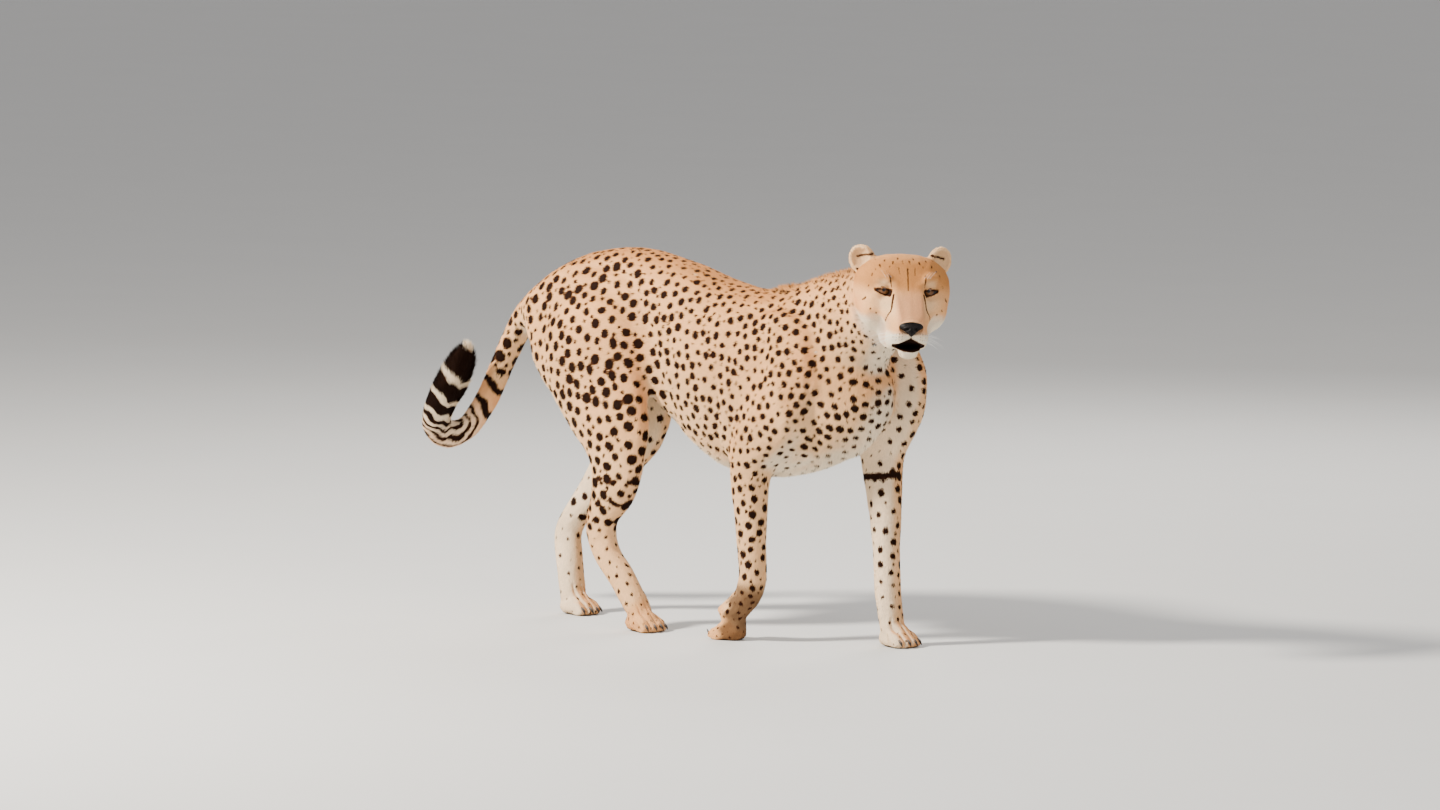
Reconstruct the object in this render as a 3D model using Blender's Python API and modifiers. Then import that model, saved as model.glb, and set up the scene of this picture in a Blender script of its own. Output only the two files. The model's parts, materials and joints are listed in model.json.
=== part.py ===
"""Cheetah, life size, in a slow walk with its head turned to its own right.

Axes: +X is where the animal is heading, +Y its left, +Z up, and the floor is z = 0.
The body is shaped as one block of clay from lofted sections and muscle forms, fused,
smoothed and thinned, and then parted into its named regions with thin cuts.
"""

import math

import bmesh
import bpy
import numpy as np
from mathutils import Matrix, Vector

# Driving dimensions, metres
GAP = 0.0003  # clear space left at every parting
CLAY_VOXEL = 0.0045  # cell of the fused body
HEAD_VOXEL = 0.0030  # cell of the fused head
BODY_FACES = 2400  # triangles kept on the body
HEAD_FACES = 950  # triangles kept on the head
SCRAP = 1e-6  # a crumb of clay smaller than this is dropped after a cut, cubic metres
FLOOR = 0.0020  # height at which the soles are cut flat

TAN = (0.72, 0.52, 0.34, 1.0)
BLACK = (0.02, 0.017, 0.015, 1.0)
AMBER = (0.55, 0.28, 0.06, 1.0)
HORN = (0.16, 0.13, 0.10, 1.0)

# Trunk sections: x, back line, widest level, belly line, half width
TRUNK = (
    (-0.545, 0.604, 0.580, 0.552, 0.024),
    (-0.515, 0.626, 0.585, 0.520, 0.052),
    (-0.470, 0.655, 0.590, 0.480, 0.072),
    (-0.415, 0.684, 0.595, 0.458, 0.082),
    (-0.360, 0.702, 0.600, 0.448, 0.084),
    (-0.300, 0.712, 0.595, 0.445, 0.080),
    (-0.235, 0.713, 0.585, 0.438, 0.077),
    (-0.170, 0.703, 0.560, 0.400, 0.080),
    (-0.105, 0.688, 0.535, 0.352, 0.088),
    (-0.040, 0.669, 0.505, 0.316, 0.096),
    (0.030, 0.655, 0.485, 0.303, 0.101),
    (0.100, 0.652, 0.480, 0.303, 0.100),
    (0.170, 0.655, 0.485, 0.316, 0.092),
    (0.235, 0.645, 0.490, 0.338, 0.082),
    (0.290, 0.610, 0.490, 0.372, 0.070),
    (0.330, 0.560, 0.480, 0.408, 0.050),
    (0.350, 0.520, 0.475, 0.440, 0.028),
)

# Neck: centre x, y, z, half width, above, below, turn of the section in degrees
NECK = (
    (0.130, 0.000, 0.530, 0.074, 0.118, 0.110, 0),
    (0.220, -0.002, 0.572, 0.070, 0.116, 0.108, -4),
    (0.300, -0.014, 0.606, 0.064, 0.104, 0.096, -14),
    (0.355, -0.028, 0.636, 0.062, 0.088, 0.082, -26),
    (0.400, -0.044, 0.660, 0.060, 0.074, 0.072, -36),
    (0.430, -0.064, 0.672, 0.052, 0.062, 0.062, -42),
)

# Head: place of the point midway between the eyes, turn, nod and tilt in degrees
HEAD_AT = (0.507, -0.125, 0.6815)
HEAD_TURN = -40.0
HEAD_NOD = 2.0
HEAD_TILT = -2.5
# Head sections in its own axes: x, crown line, widest level, jaw line, half width
SKULL = (
    (-0.138, 0.022, -0.008, -0.046, 0.042),
    (-0.112, 0.046, -0.004, -0.070, 0.070),
    (-0.080, 0.058, 0.000, -0.082, 0.085),
    (-0.050, 0.060, -0.004, -0.088, 0.088),
    (-0.022, 0.051, -0.010, -0.092, 0.078),
    (0.000, 0.032, -0.020, -0.095, 0.060),
    (0.021, 0.009, -0.038, -0.099, 0.046),
    (0.041, -0.012, -0.056, -0.105, 0.039),
    (0.060, -0.031, -0.066, -0.110, 0.034),
    (0.073, -0.044, -0.070, -0.104, 0.027),
)
EYE_RADIUS = 0.0175
EYE_AT = (-0.0105, 0.0415, 0.0)  # left eye; the right mirrors it
NOSE_AT = (0.0725, 0.0, -0.0580)
NOSE_SIZE = (0.0125, 0.0220, 0.0125)
EAR_AT = (-0.082, 0.0705, 0.0455)  # left ear; the right mirrors it
EAR_SIZE = (0.0135, 0.0265, 0.0290)
EAR_LEAN = 30.0  # outward, degrees
EAR_TURN = 28.0
MOUTH_AT = (0.0660, 0.0, -0.0955)
MOUTH_SIZE = (0.0400, 0.0290, 0.0065)

# Tail: centre x, y, z, half width, thickness
TAIL = (
    (-0.515, 0.000, 0.590, 0.034, 0.034),
    (-0.545, 0.000, 0.572, 0.029, 0.029),
    (-0.583, 0.002, 0.526, 0.026, 0.026),
    (-0.622, 0.006, 0.466, 0.025, 0.025),
    (-0.664, 0.010, 0.400, 0.025, 0.025),
    (-0.712, 0.008, 0.344, 0.025, 0.025),
    (-0.748, -0.012, 0.326, 0.027, 0.027),
    (-0.748, -0.042, 0.352, 0.029, 0.029),
    (-0.714, -0.062, 0.398, 0.032, 0.032),
    (-0.675, -0.070, 0.444, 0.036, 0.036),
    (-0.645, -0.073, 0.490, 0.030, 0.030),
    (-0.630, -0.074, 0.524, 0.011, 0.011),
)

# Legs: centre x, y, z, half across, front half, rear half
FORE_RIGHT = (
    (0.120, -0.040, 0.610, 0.026, 0.050, 0.060),
    (0.170, -0.070, 0.545, 0.029, 0.062, 0.072),
    (0.180, -0.078, 0.480, 0.032, 0.066, 0.080),
    (0.135, -0.080, 0.410, 0.034, 0.062, 0.072),
    (0.092, -0.074, 0.355, 0.033, 0.048, 0.056),
    (0.078, -0.068, 0.300, 0.030, 0.041, 0.045),
    (0.075, -0.063, 0.240, 0.027, 0.036, 0.037),
    (0.074, -0.060, 0.180, 0.025, 0.031, 0.031),
    (0.076, -0.059, 0.128, 0.026, 0.029, 0.029),
    (0.068, -0.060, 0.094, 0.027, 0.027, 0.026),
    (0.042, -0.057, 0.068, 0.027, 0.024, 0.025),
    (0.010, -0.053, 0.046, 0.027, 0.021, 0.025),
)
FORE_LEFT = (
    (0.175, 0.040, 0.610, 0.026, 0.048, 0.056),
    (0.262, 0.072, 0.565, 0.030, 0.058, 0.066),
    (0.312, 0.082, 0.500, 0.034, 0.062, 0.074),
    (0.296, 0.084, 0.430, 0.034, 0.062, 0.068),
    (0.272, 0.081, 0.370, 0.033, 0.052, 0.052),
    (0.276, 0.077, 0.310, 0.030, 0.042, 0.043),
    (0.284, 0.074, 0.250, 0.028, 0.035, 0.035),
    (0.288, 0.072, 0.190, 0.025, 0.029, 0.029),
    (0.292, 0.070, 0.135, 0.025, 0.027, 0.027),
    (0.294, 0.070, 0.100, 0.025, 0.026, 0.026),
    (0.300, 0.070, 0.060, 0.025, 0.023, 0.023),
    (0.306, 0.070, 0.030, 0.026, 0.020, 0.020),
)
HIND_RIGHT = (
    (-0.375, -0.040, 0.620, 0.040, 0.080, 0.070),
    (-0.345, -0.066, 0.560, 0.046, 0.120, 0.105),
    (-0.310, -0.078, 0.495, 0.044, 0.130, 0.115),
    (-0.275, -0.082, 0.425, 0.040, 0.112, 0.100),
    (-0.250, -0.084, 0.370, 0.036, 0.090, 0.084),
    (-0.246, -0.083, 0.315, 0.032, 0.068, 0.064),
    (-0.262, -0.080, 0.265, 0.028, 0.060, 0.045),
    (-0.288, -0.076, 0.218, 0.024, 0.042, 0.030),
    (-0.296, -0.072, 0.180, 0.024, 0.038, 0.032),
    (-0.280, -0.069, 0.140, 0.024, 0.029, 0.029),
    (-0.250, -0.067, 0.105, 0.025, 0.027, 0.027),
    (-0.222, -0.066, 0.068, 0.025, 0.025, 0.025),
    (-0.200, -0.066, 0.036, 0.026, 0.020, 0.020),
)
HIND_LEFT = (
    (-0.395, 0.040, 0.620, 0.040, 0.080, 0.070),
    (-0.380, 0.066, 0.560, 0.046, 0.115, 0.095),
    (-0.358, 0.076, 0.495, 0.044, 0.115, 0.100),
    (-0.345, 0.080, 0.430, 0.040, 0.098, 0.096),
    (-0.348, 0.080, 0.370, 0.036, 0.080, 0.080),
    (-0.385, 0.078, 0.310, 0.032, 0.058, 0.056),
    (-0.430, 0.074, 0.250, 0.028, 0.040, 0.040),
    (-0.480, 0.068, 0.195, 0.024, 0.028, 0.030),
    (-0.503, 0.064, 0.155, 0.023, 0.030, 0.032),
    (-0.498, 0.060, 0.115, 0.025, 0.030, 0.028),
    (-0.490, 0.056, 0.075, 0.025, 0.027, 0.025),
    (-0.482, 0.053, 0.036, 0.027, 0.024, 0.022),
)

# Muscle forms: start, end, thickness, width
MUSCLES = (
    ((0.150, -0.066, 0.600), (0.215, -0.088, 0.470), 0.020, 0.060),  # right shoulder blade
    ((0.185, -0.088, 0.490), (0.095, -0.088, 0.375), 0.022, 0.056),  # right triceps
    ((0.235, 0.068, 0.600), (0.325, 0.094, 0.480), 0.020, 0.060),  # left shoulder blade
    ((0.310, 0.092, 0.500), (0.262, 0.092, 0.390), 0.022, 0.056),  # left triceps
    ((0.170, 0.000, 0.630), (0.080, 0.000, 0.635), 0.030, 0.034),  # withers
    ((-0.390, -0.058, 0.600), (-0.270, -0.080, 0.480), 0.036, 0.080),  # right haunch
    ((-0.410, 0.058, 0.600), (-0.310, 0.078, 0.470), 0.036, 0.080),  # left haunch
    ((-0.480, -0.050, 0.590), (-0.380, -0.078, 0.440), 0.030, 0.045),  # right ham
    ((-0.490, 0.050, 0.590), (-0.410, 0.076, 0.430), 0.030, 0.045),  # left ham
    ((0.335, 0.000, 0.500), (0.250, 0.000, 0.370), 0.036, 0.052),  # breast
)


def clear_scene():
    """Empties the file of objects."""
    for thing in list(bpy.data.objects):
        bpy.data.objects.remove(thing, do_unlink=True)


def collection(name):
    """A new collection under the scene's own."""
    made = bpy.data.collections.new(name)
    bpy.context.scene.collection.children.link(made)
    return made


def material(name, colour, roughness):
    """A plain coat, skin or horn surface."""
    made = bpy.data.materials.new(name)
    made.use_nodes = True
    shader = made.node_tree.nodes["Principled BSDF"]
    shader.inputs["Base Color"].default_value = colour
    shader.inputs["Roughness"].default_value = roughness
    shader.inputs["Metallic"].default_value = 0.0
    return made


def spline(rows, steps):
    """Rows of numbers made finer by a Catmull-Rom curve through them."""
    table = np.array(rows, dtype=float)
    padded = np.vstack((2 * table[0] - table[1], table, 2 * table[-1] - table[-2]))
    fine = []
    for i in range(1, len(padded) - 2):
        a, b, c, d = padded[i - 1 : i + 3]
        for t in np.linspace(0.0, 1.0, steps, endpoint=False):
            fine.append(
                0.5
                * (2 * b + (c - a) * t + (2 * a - 5 * b + 4 * c - d) * t * t + (3 * b - a - 3 * c + d) * t**3)
            )
    fine.append(table[-1])
    return np.array(fine)


def ring(clay, centre, side, up, across, above, below, square, sides=24):
    """One closed section: a rounded oval that may differ above and below its widest level."""
    corners = []
    for k in range(sides):
        angle = 2 * math.pi * k / sides
        c = math.cos(angle)
        s = math.sin(angle)
        out = across * math.copysign(abs(c) ** (2 / square), c)
        height = (above if s > 0 else below) * math.copysign(abs(s) ** (2 / square), s)
        corners.append(clay.verts.new(centre + side * out + up * height))
    return corners


def skin_rings(clay, rings):
    """Closes a row of sections into one body with flat ends."""
    sides = len(rings[0])
    for low, high in zip(rings, rings[1:]):
        for k in range(sides):
            after = (k + 1) % sides
            clay.faces.new((low[k], low[after], high[after], high[k]))
    clay.faces.new(list(reversed(rings[0])))
    clay.faces.new(rings[-1])


def barrel(clay, rows, square=2.2):
    """Upright sections along X: x, top, widest level, bottom, half width."""
    rings = []
    side = Vector((0, 1, 0))
    up = Vector((0, 0, 1))
    for x, top, wide, bottom, across in spline(rows, 5):
        rings.append(ring(clay, Vector((x, 0, wide)), side, up, across, top - wide, wide - bottom, square))
    skin_rings(clay, rings)


def limb(clay, rows, frame=None, steps=5, sides=24):
    """Sections square to a path: x, y, z, half across, front half, rear half, turn in degrees."""
    fine = spline(rows, steps)
    centres = [Vector(row[:3]) for row in fine]
    rings = []
    for i, row in enumerate(fine):
        along = (centres[min(i + 1, len(fine) - 1)] - centres[max(i - 1, 0)]).normalized()
        turn = math.radians(row[6]) if len(row) > 6 else 0.0
        side = Vector((-math.sin(turn), math.cos(turn), 0))
        side = (side - along * side.dot(along)).normalized()
        up = along.cross(side)
        rings.append(ring(clay, centres[i], side, up, row[3], row[4], row[5], 2.1, sides))
    if frame:
        bmesh.ops.transform(clay, matrix=frame, verts=[corner for loop in rings for corner in loop])
    skin_rings(clay, rings)


def lump(clay, place, radii, turn=None, sides=20):
    """An ellipsoid of clay, turned by a matrix if one is given."""
    matrix = Matrix.Translation(place) @ (turn or Matrix()) @ Matrix.Diagonal((*radii, 1.0))
    bmesh.ops.create_uvsphere(clay, u_segments=sides, v_segments=sides * 5 // 8, radius=1.0, matrix=matrix)


def muscle(clay, start, end, thick, wide):
    """A spindle from start to end, thin sideways."""
    a = Vector(start)
    b = Vector(end)
    along = (b - a).normalized()
    side = Vector((0, 1, 0))
    side = (side - along * side.dot(along)).normalized()
    up = along.cross(side)
    turn = Matrix((along, side, up)).transposed().to_4x4()
    lump(clay, (a + b) / 2, ((b - a).length / 2 + wide * 0.5, thick, wide), turn)


def toe_frames(frame, curl):
    """Four toes side by side, the middle two further forward, in the paw's own frame."""
    frames = []
    for k in range(4):
        out = (k - 1.5) / 1.5
        place = Matrix.Translation((0.012 + 0.009 * (1 - abs(out)), out * 0.0215, 0.0175))
        splay = Matrix.Rotation(math.radians(7 * out), 4, "Z")
        frames.append(frame @ place @ splay @ Matrix.Rotation(math.radians(curl), 4, "Y"))
    return frames


def paw(clay, frame, curl):
    """Pad and four toes in the paw's own frame: X to the toes, Z to its back."""
    turn = frame.to_3x3().to_4x4()
    lump(clay, frame @ Vector((-0.006, 0, 0.018)), (0.032, 0.027, 0.018), turn)
    lump(clay, frame @ Vector((-0.004, 0, 0.031)), (0.029, 0.023, 0.019), turn)
    for toe in toe_frames(frame, curl):
        turn = toe.to_3x3().to_4x4()
        lump(clay, toe @ Vector((0, 0, 0.001)), (0.021, 0.0100, 0.0150), turn)
        lump(clay, toe @ Vector((0.015, 0, -0.0055)), (0.0120, 0.0098, 0.0115), turn)


def paw_frame(x, y, z, heading, drop):
    """A paw's own axes: heading in plan, and how far its toes are turned down, in degrees."""
    return (
        Matrix.Translation((x, y, z))
        @ Matrix.Rotation(math.radians(heading), 4, "Z")
        @ Matrix.Rotation(math.radians(drop), 4, "Y")
    )


# Paws: frame, curl of the toes and of the claws in degrees
PAWS = {
    "fore_right": (paw_frame(0.006, -0.0525, 0.0368, -10, 142), 6, 20),
    "fore_left": (paw_frame(0.314, 0.070, -0.0015, -4, 0), 0, 0),
    "hind_right": (paw_frame(-0.194, -0.066, -0.0015, -3, 0), 0, 0),
    "hind_left": (paw_frame(-0.470, 0.052, -0.0015, 3, 0), 0, 0),
}


def head_frame():
    """The head's own axes, set on the neck."""
    return (
        Matrix.Translation(HEAD_AT)
        @ Matrix.Rotation(math.radians(HEAD_TURN), 4, "Z")
        @ Matrix.Rotation(math.radians(HEAD_NOD), 4, "Y")
        @ Matrix.Rotation(math.radians(HEAD_TILT), 4, "X")
    )


def body_clay(clay):
    """Trunk, neck, legs and tail."""
    barrel(clay, TRUNK)
    limb(clay, NECK)
    limb(clay, [(x, y, z, across, thick, thick) for x, y, z, across, thick in TAIL])
    for leg in (FORE_RIGHT, FORE_LEFT, HIND_RIGHT, HIND_LEFT):
        limb(clay, leg)
    for form in MUSCLES:
        muscle(clay, *form)
    for frame, curl, _ in PAWS.values():
        paw(clay, frame, curl)


def head_clay(clay):
    """Skull, brows, cheeks, whisker pads and chin in the head's own axes, with the upper neck."""
    barrel(clay, SKULL, 2.4)
    for side in (-1, 1):
        lump(clay, (-0.014, side * 0.038, 0.020), (0.022, 0.026, 0.0145))  # brow
        lump(clay, (-0.032, side * 0.050, -0.034), (0.046, 0.031, 0.042))  # cheek
        lump(clay, (0.050, side * 0.0185, -0.0735), (0.028, 0.0205, 0.0195))  # whisker pad
        lump(clay, (0.006, side * 0.028, -0.084), (0.050, 0.019, 0.022))  # jaw
    lump(clay, (0.047, 0, -0.1080), (0.023, 0.0210, 0.0115))  # chin
    limb(clay, NECK[-4:], head_frame().inverted())


def face_hollows(clay):
    """The two orbits and the open mouth, to be taken out of the head."""
    for side in (-1, 1):
        lump(clay, (0.0165, side * 0.0480, -0.001), (0.0170, 0.0205, 0.0145))
    lump(clay, MOUTH_AT, MOUTH_SIZE)


def mesh_object(name, fill, group):
    """A closed mesh object filled by a function that takes a bmesh."""
    mesh = bpy.data.meshes.new(name)
    clay = bmesh.new()
    fill(clay)
    bmesh.ops.recalc_face_normals(clay, faces=clay.faces)
    clay.to_mesh(mesh)
    clay.free()
    made = bpy.data.objects.new(name, mesh)
    group.objects.link(made)
    return made


def settle(thing):
    """Replaces the object's mesh with what its modifiers make of it."""
    bpy.context.view_layer.update()
    graph = bpy.context.evaluated_depsgraph_get()
    mesh = bpy.data.meshes.new_from_object(thing.evaluated_get(graph))
    thing.modifiers.clear()
    thing.data = mesh


def fuse(thing, voxel):
    """Fuses overlapping forms into one skin."""
    remesh = thing.modifiers.new("Fuse", "REMESH")
    remesh.mode = "VOXEL"
    remesh.voxel_size = voxel
    settle(thing)


def soften(thing, rounds, share=None):
    """Smooths the skin, by a share from 0 to 1 that a function gives for each point."""
    smooth = thing.modifiers.new("Soften", "SMOOTH")
    smooth.factor = 0.5
    smooth.iterations = rounds
    if share:
        group = thing.vertex_groups.new(name="soft")
        for vertex in thing.data.vertices:
            group.add([vertex.index], share(vertex.co), "REPLACE")
        smooth.vertex_group = group.name
    settle(thing)


def above_feet(point):
    """0 on the feet, 1 from the wrists and hocks up."""
    return min(1.0, max(0.0, (point.z - 0.07) / 0.08))


def thin(thing, faces):
    """Brings the triangle count down to about the number asked for."""
    thin_out = thing.modifiers.new("Thin", "DECIMATE")
    thin_out.ratio = faces / sum(len(face.vertices) - 2 for face in thing.data.polygons)
    settle(thing)


def solid(mesh):
    """True if a mesh encloses some clay and each of its edges has two faces."""
    clay = bmesh.new()
    clay.from_mesh(mesh)
    closed = all(edge.is_manifold for edge in clay.edges)
    filled = abs(clay.calc_volume()) > SCRAP
    clay.free()
    return closed and filled


def cut(thing, cutter):
    """Takes a cutter away from an object, with the second solver only where the exact one fails."""
    cutter.hide_render = True
    cutter.display_type = "WIRE"
    before = thing.data
    for solver in ("EXACT", "MANIFOLD"):
        thing.data = before
        boolean = thing.modifiers.new("Cut", "BOOLEAN")
        boolean.operation = "DIFFERENCE"
        boolean.solver = solver
        boolean.object = cutter
        settle(thing)
        if solid(thing.data):
            return
    raise RuntimeError(f"{cutter.name} doesn't cut {thing.name} cleanly")


def swollen(guest, group, extra):
    """A copy of a solid grown along its normals, which cuts its seat."""
    made = bpy.data.objects.new(guest.name + "_seat", guest.data.copy())
    group.objects.link(made)
    swell = made.modifiers.new("Swell", "DISPLACE")
    swell.mid_level = 0.0
    swell.strength = extra
    settle(made)
    return made


def plate(name, place, facing, radius, group):
    """A disc one gap thick, square to the facing direction."""
    turn = Vector(facing).to_track_quat("Z", "Y").to_matrix().to_4x4()
    matrix = Matrix.Translation(place) @ turn

    def fill(clay):
        bmesh.ops.create_cone(
            clay, cap_ends=True, segments=16, radius1=radius, radius2=radius, depth=GAP, matrix=matrix
        )

    return mesh_object(name, fill, group)


def drum(name, place, half_long, half_across, lean, inner, group):
    """A thin-walled oval drum on its side, open outward, that parts a haunch or shoulder from the trunk."""
    side = math.copysign(1, inner)
    sides = 24
    depth = 0.30

    def wall(clay, spare):
        outer = []
        inmost = []
        for k in range(sides):
            angle = 2 * math.pi * k / sides
            c = math.cos(angle)
            s = math.sin(angle)
            along = (half_long - spare) * math.copysign(abs(c) ** 0.75, c)
            across = (half_across - spare) * math.copysign(abs(s) ** 0.75, s)
            x = place[0] + along * math.sin(lean) + across * math.cos(lean)
            z = place[1] + along * math.cos(lean) - across * math.sin(lean)
            inmost.append(clay.verts.new((x, inner + side * spare, z)))
            outer.append(clay.verts.new((x, side * depth, z)))
        return inmost, outer

    def fill(clay):
        inmost, outer = wall(clay, 0.0)
        inside, mouth = wall(clay, GAP)
        for k in range(sides):
            after = (k + 1) % sides
            clay.faces.new((inmost[k], inmost[after], outer[after], outer[k]))
            clay.faces.new((inside[after], inside[k], mouth[k], mouth[after]))
            clay.faces.new((outer[k], outer[after], mouth[after], mouth[k]))
        clay.faces.new(inmost)
        clay.faces.new(inside)

    return mesh_object(name, fill, group)


def loose_parts(thing):
    """Splits an object into one object for each loose piece of clay, without the crumbs."""
    source = bmesh.new()
    source.from_mesh(thing.data)
    source.verts.ensure_lookup_table()
    label = {}
    for start in source.verts:
        if start in label:
            continue
        label[start] = start.index
        stack = [start]
        while stack:
            for edge in stack.pop().link_edges:
                for vert in edge.verts:
                    if vert not in label:
                        label[vert] = start.index
                        stack.append(vert)
    parts = []
    for index in sorted(set(label.values())):
        piece = source.copy()
        piece.verts.ensure_lookup_table()
        strangers = [piece.verts[v.index] for v in source.verts if label[v] != index]
        bmesh.ops.delete(piece, geom=strangers, context="VERTS")
        if abs(piece.calc_volume()) > SCRAP:
            mesh = bpy.data.meshes.new(thing.name)
            piece.to_mesh(mesh)
            made = bpy.data.objects.new(thing.name, mesh)
            thing.users_collection[0].objects.link(made)
            parts.append(made)
        piece.free()
    source.free()
    return parts


def middle(thing):
    """Mean of an object's corners."""
    total = Vector()
    for vertex in thing.data.vertices:
        total += vertex.co
    return total / len(thing.data.vertices)


def part_off(model, old, new, cutter, distance):
    """Cuts the node old in two; the piece with the least distance is called new, and the other old."""
    whole = model.objects[old]
    cut(whole, cutter)
    parts = sorted(loose_parts(whole), key=lambda piece: distance(middle(piece)))
    if len(parts) != 2:
        raise RuntimeError(f"{new}: {len(parts)} pieces instead of 2")
    bpy.data.objects.remove(whole, do_unlink=True)
    parts[0].name = new
    parts[1].name = old


def part_at_plate(model, tools, old, new, place, facing, radius):
    """Cuts the node old with a plate; the side that the plate faces is called new."""
    cutter = plate("cut_" + new, place, facing, radius, tools)
    normal = Vector(facing)
    part_off(model, old, new, cutter, lambda point: -(point - Vector(place)).dot(normal))


def part_at_drum(model, tools, new, place, half_long, half_across, lean, inner):
    """Cuts a haunch or a shoulder out of the body."""
    cutter = drum("cut_" + new, place, half_long, half_across, math.radians(lean), inner, tools)
    target = Vector((place[0], 2 * inner, place[1]))
    part_off(model, "body", new, cutter, lambda point: (point - target).length)


# Cuts with a plate: old node, new node on the side faced, place, facing, radius
LEG_PLATES = (
    ("body", "forearm_right", (0.078, -0.068, 0.292), (0, 0, -1), 0.075),
    ("forearm_right", "pastern_fore_right", (0.075, -0.060, 0.112), (-0.2, 0, -1), 0.060),
    ("pastern_fore_right", "paw_fore_right", (0.026, -0.055, 0.056), (-0.8, 0.1, -0.6), 0.060),
    ("body", "forearm_left", (0.278, 0.077, 0.292), (0, 0, -1), 0.075),
    ("forearm_left", "pastern_fore_left", (0.293, 0.070, 0.118), (0.1, 0, -1), 0.060),
    ("pastern_fore_left", "paw_fore_left", (0.302, 0.070, 0.042), (0.45, 0, -1), 0.060),
    ("body", "shank_right", (-0.248, -0.084, 0.345), (-0.1, 0, -1), 0.120),
    ("shank_right", "metatarsus_right", (-0.292, -0.072, 0.178), (0.5, 0, -1), 0.060),
    ("metatarsus_right", "paw_hind_right", (-0.208, -0.066, 0.044), (0.8, 0, -0.7), 0.060),
    ("body", "shank_left", (-0.355, 0.080, 0.350), (-0.3, 0, -1), 0.120),
    ("shank_left", "metatarsus_left", (-0.505, 0.064, 0.160), (0.1, 0, -1), 0.060),
    ("metatarsus_left", "paw_hind_left", (-0.482, 0.053, 0.044), (0.5, 0, -1), 0.060),
)
TRUNK_PLATES = (
    ("body", "neck", (0.280, 0.0, 0.6025), (0.672, 0, 0.741), 0.150),
    ("body", "rump", (-0.215, 0.0, 0.560), (-1, 0, 0), 0.240),
    ("body", "waist", (-0.030, 0.0, 0.500), (-1, 0, 0), 0.260),
    ("rump", "tail_root", (-0.570, 0.002, 0.545), (-0.65, 0, -0.75), 0.060),
    ("tail_root", "tail_middle", (-0.640, 0.008, 0.436), (-0.55, 0, -0.85), 0.060),
    ("tail_middle", "tail_bend", (-0.714, 0.007, 0.343), (-0.85, -0.2, -0.45), 0.042),
    ("tail_bend", "tail_brush", (-0.706, -0.064, 0.410), (0.6, -0.12, 0.78), 0.055),
)
# Cuts with a drum: new node, centre x and z, half length, half width, lean, inner face y
DRUMS = (
    ("upper_arm_right", (0.126, 0.442), 0.190, 0.108, 14, -0.034),
    ("upper_arm_left", (0.292, 0.442), 0.190, 0.096, 4, 0.034),
    ("thigh_right", (-0.300, 0.472), 0.205, 0.158, -20, -0.036),
    ("thigh_left", (-0.356, 0.478), 0.200, 0.148, -6, 0.036),
)
HEAD_CUT = ((0.375, -0.034, 0.650), (0.80, -0.50, 0.33))


def half_space(name, place, facing, group):
    """A block that takes away everything on the side faced."""
    size = 2.0
    turn = Vector(facing).to_track_quat("Z", "Y").to_matrix().to_4x4()
    matrix = Matrix.Translation(place) @ turn @ Matrix.Translation((0, 0, size / 2))

    def fill(clay):
        bmesh.ops.create_cube(clay, size=size, matrix=matrix)

    return mesh_object(name, fill, group)


def mirrored(place, side):
    """A place on the head's left, or the same one on its right."""
    return (place[0], place[1] * side, place[2])


def make_ear(name, side, group, tools):
    """A round cupped ear in the head's axes, and the whole oval it was hollowed from."""
    turn = Matrix.Rotation(math.radians(EAR_TURN * side), 4, "Z") @ Matrix.Rotation(
        math.radians(-EAR_LEAN * side), 4, "X"
    )
    place = mirrored(EAR_AT, side)
    ear = mesh_object(name, lambda clay: lump(clay, place, EAR_SIZE, turn, 12), group)
    seat = swollen(ear, tools, GAP * 1.5)
    hollow_size = (EAR_SIZE[0] * 0.95, EAR_SIZE[1] * 0.74, EAR_SIZE[2] * 0.78)
    hollow_at = Vector(place) + turn @ Vector((EAR_SIZE[0] * 0.85, 0, 0.003))
    hollow = mesh_object(name + "_hollow", lambda clay: lump(clay, hollow_at, hollow_size, turn, 8), tools)
    cut(ear, hollow)
    return ear, seat


def make_head(model, tools):
    """Head, ears, eyes and nose, each seated in the head, then all set on the neck."""
    head = mesh_object("head", head_clay, model)
    fuse(head, HEAD_VOXEL)
    cut(head, mesh_object("cut_face", face_hollows, tools))
    fuse(head, HEAD_VOXEL)
    soften(head, 6)
    thin(head, HEAD_FACES)
    guests = []
    for side, word in ((-1, "right"), (1, "left")):
        ear, seat = make_ear("ear_" + word, side, model, tools)
        cut(head, seat)
        guests.append(ear)
        eye_at = mirrored(EYE_AT, side)
        eye = mesh_object("eye_" + word, lambda clay: lump(clay, eye_at, (EYE_RADIUS,) * 3, sides=12), model)
        cut(head, swollen(eye, tools, GAP * 1.5))
        guests.append(eye)
    nose = mesh_object("nose", lambda clay: lump(clay, NOSE_AT, NOSE_SIZE, sides=12), model)
    cut(head, swollen(nose, tools, GAP * 1.5))
    guests.append(nose)
    for thing in [head] + guests:
        thing.data.transform(head_frame())
    place, facing = HEAD_CUT
    behind = [-value for value in facing]
    cut(head, half_space("cut_behind_head", place, behind, tools))


def make_body(model, tools):
    """Trunk, neck, legs and tail in one block of clay, parted into named regions."""
    body = mesh_object("body", body_clay, model)
    fuse(body, CLAY_VOXEL)
    soften(body, 5)
    soften(body, 32, above_feet)
    thin(body, BODY_FACES)
    place, facing = HEAD_CUT
    apart = Vector(place) - Vector(facing).normalized() * GAP
    cut(body, half_space("cut_before_neck", apart, facing, tools))
    cut(body, half_space("cut_soles", (0, 0, FLOOR), (0, 0, -1), tools))
    for row in LEG_PLATES:
        part_at_plate(model, tools, *row)
    for row in DRUMS:
        part_at_drum(model, tools, *row)
    for row in TRUNK_PLATES:
        part_at_plate(model, tools, *row)
    model.objects["body"].name = "chest"


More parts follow.
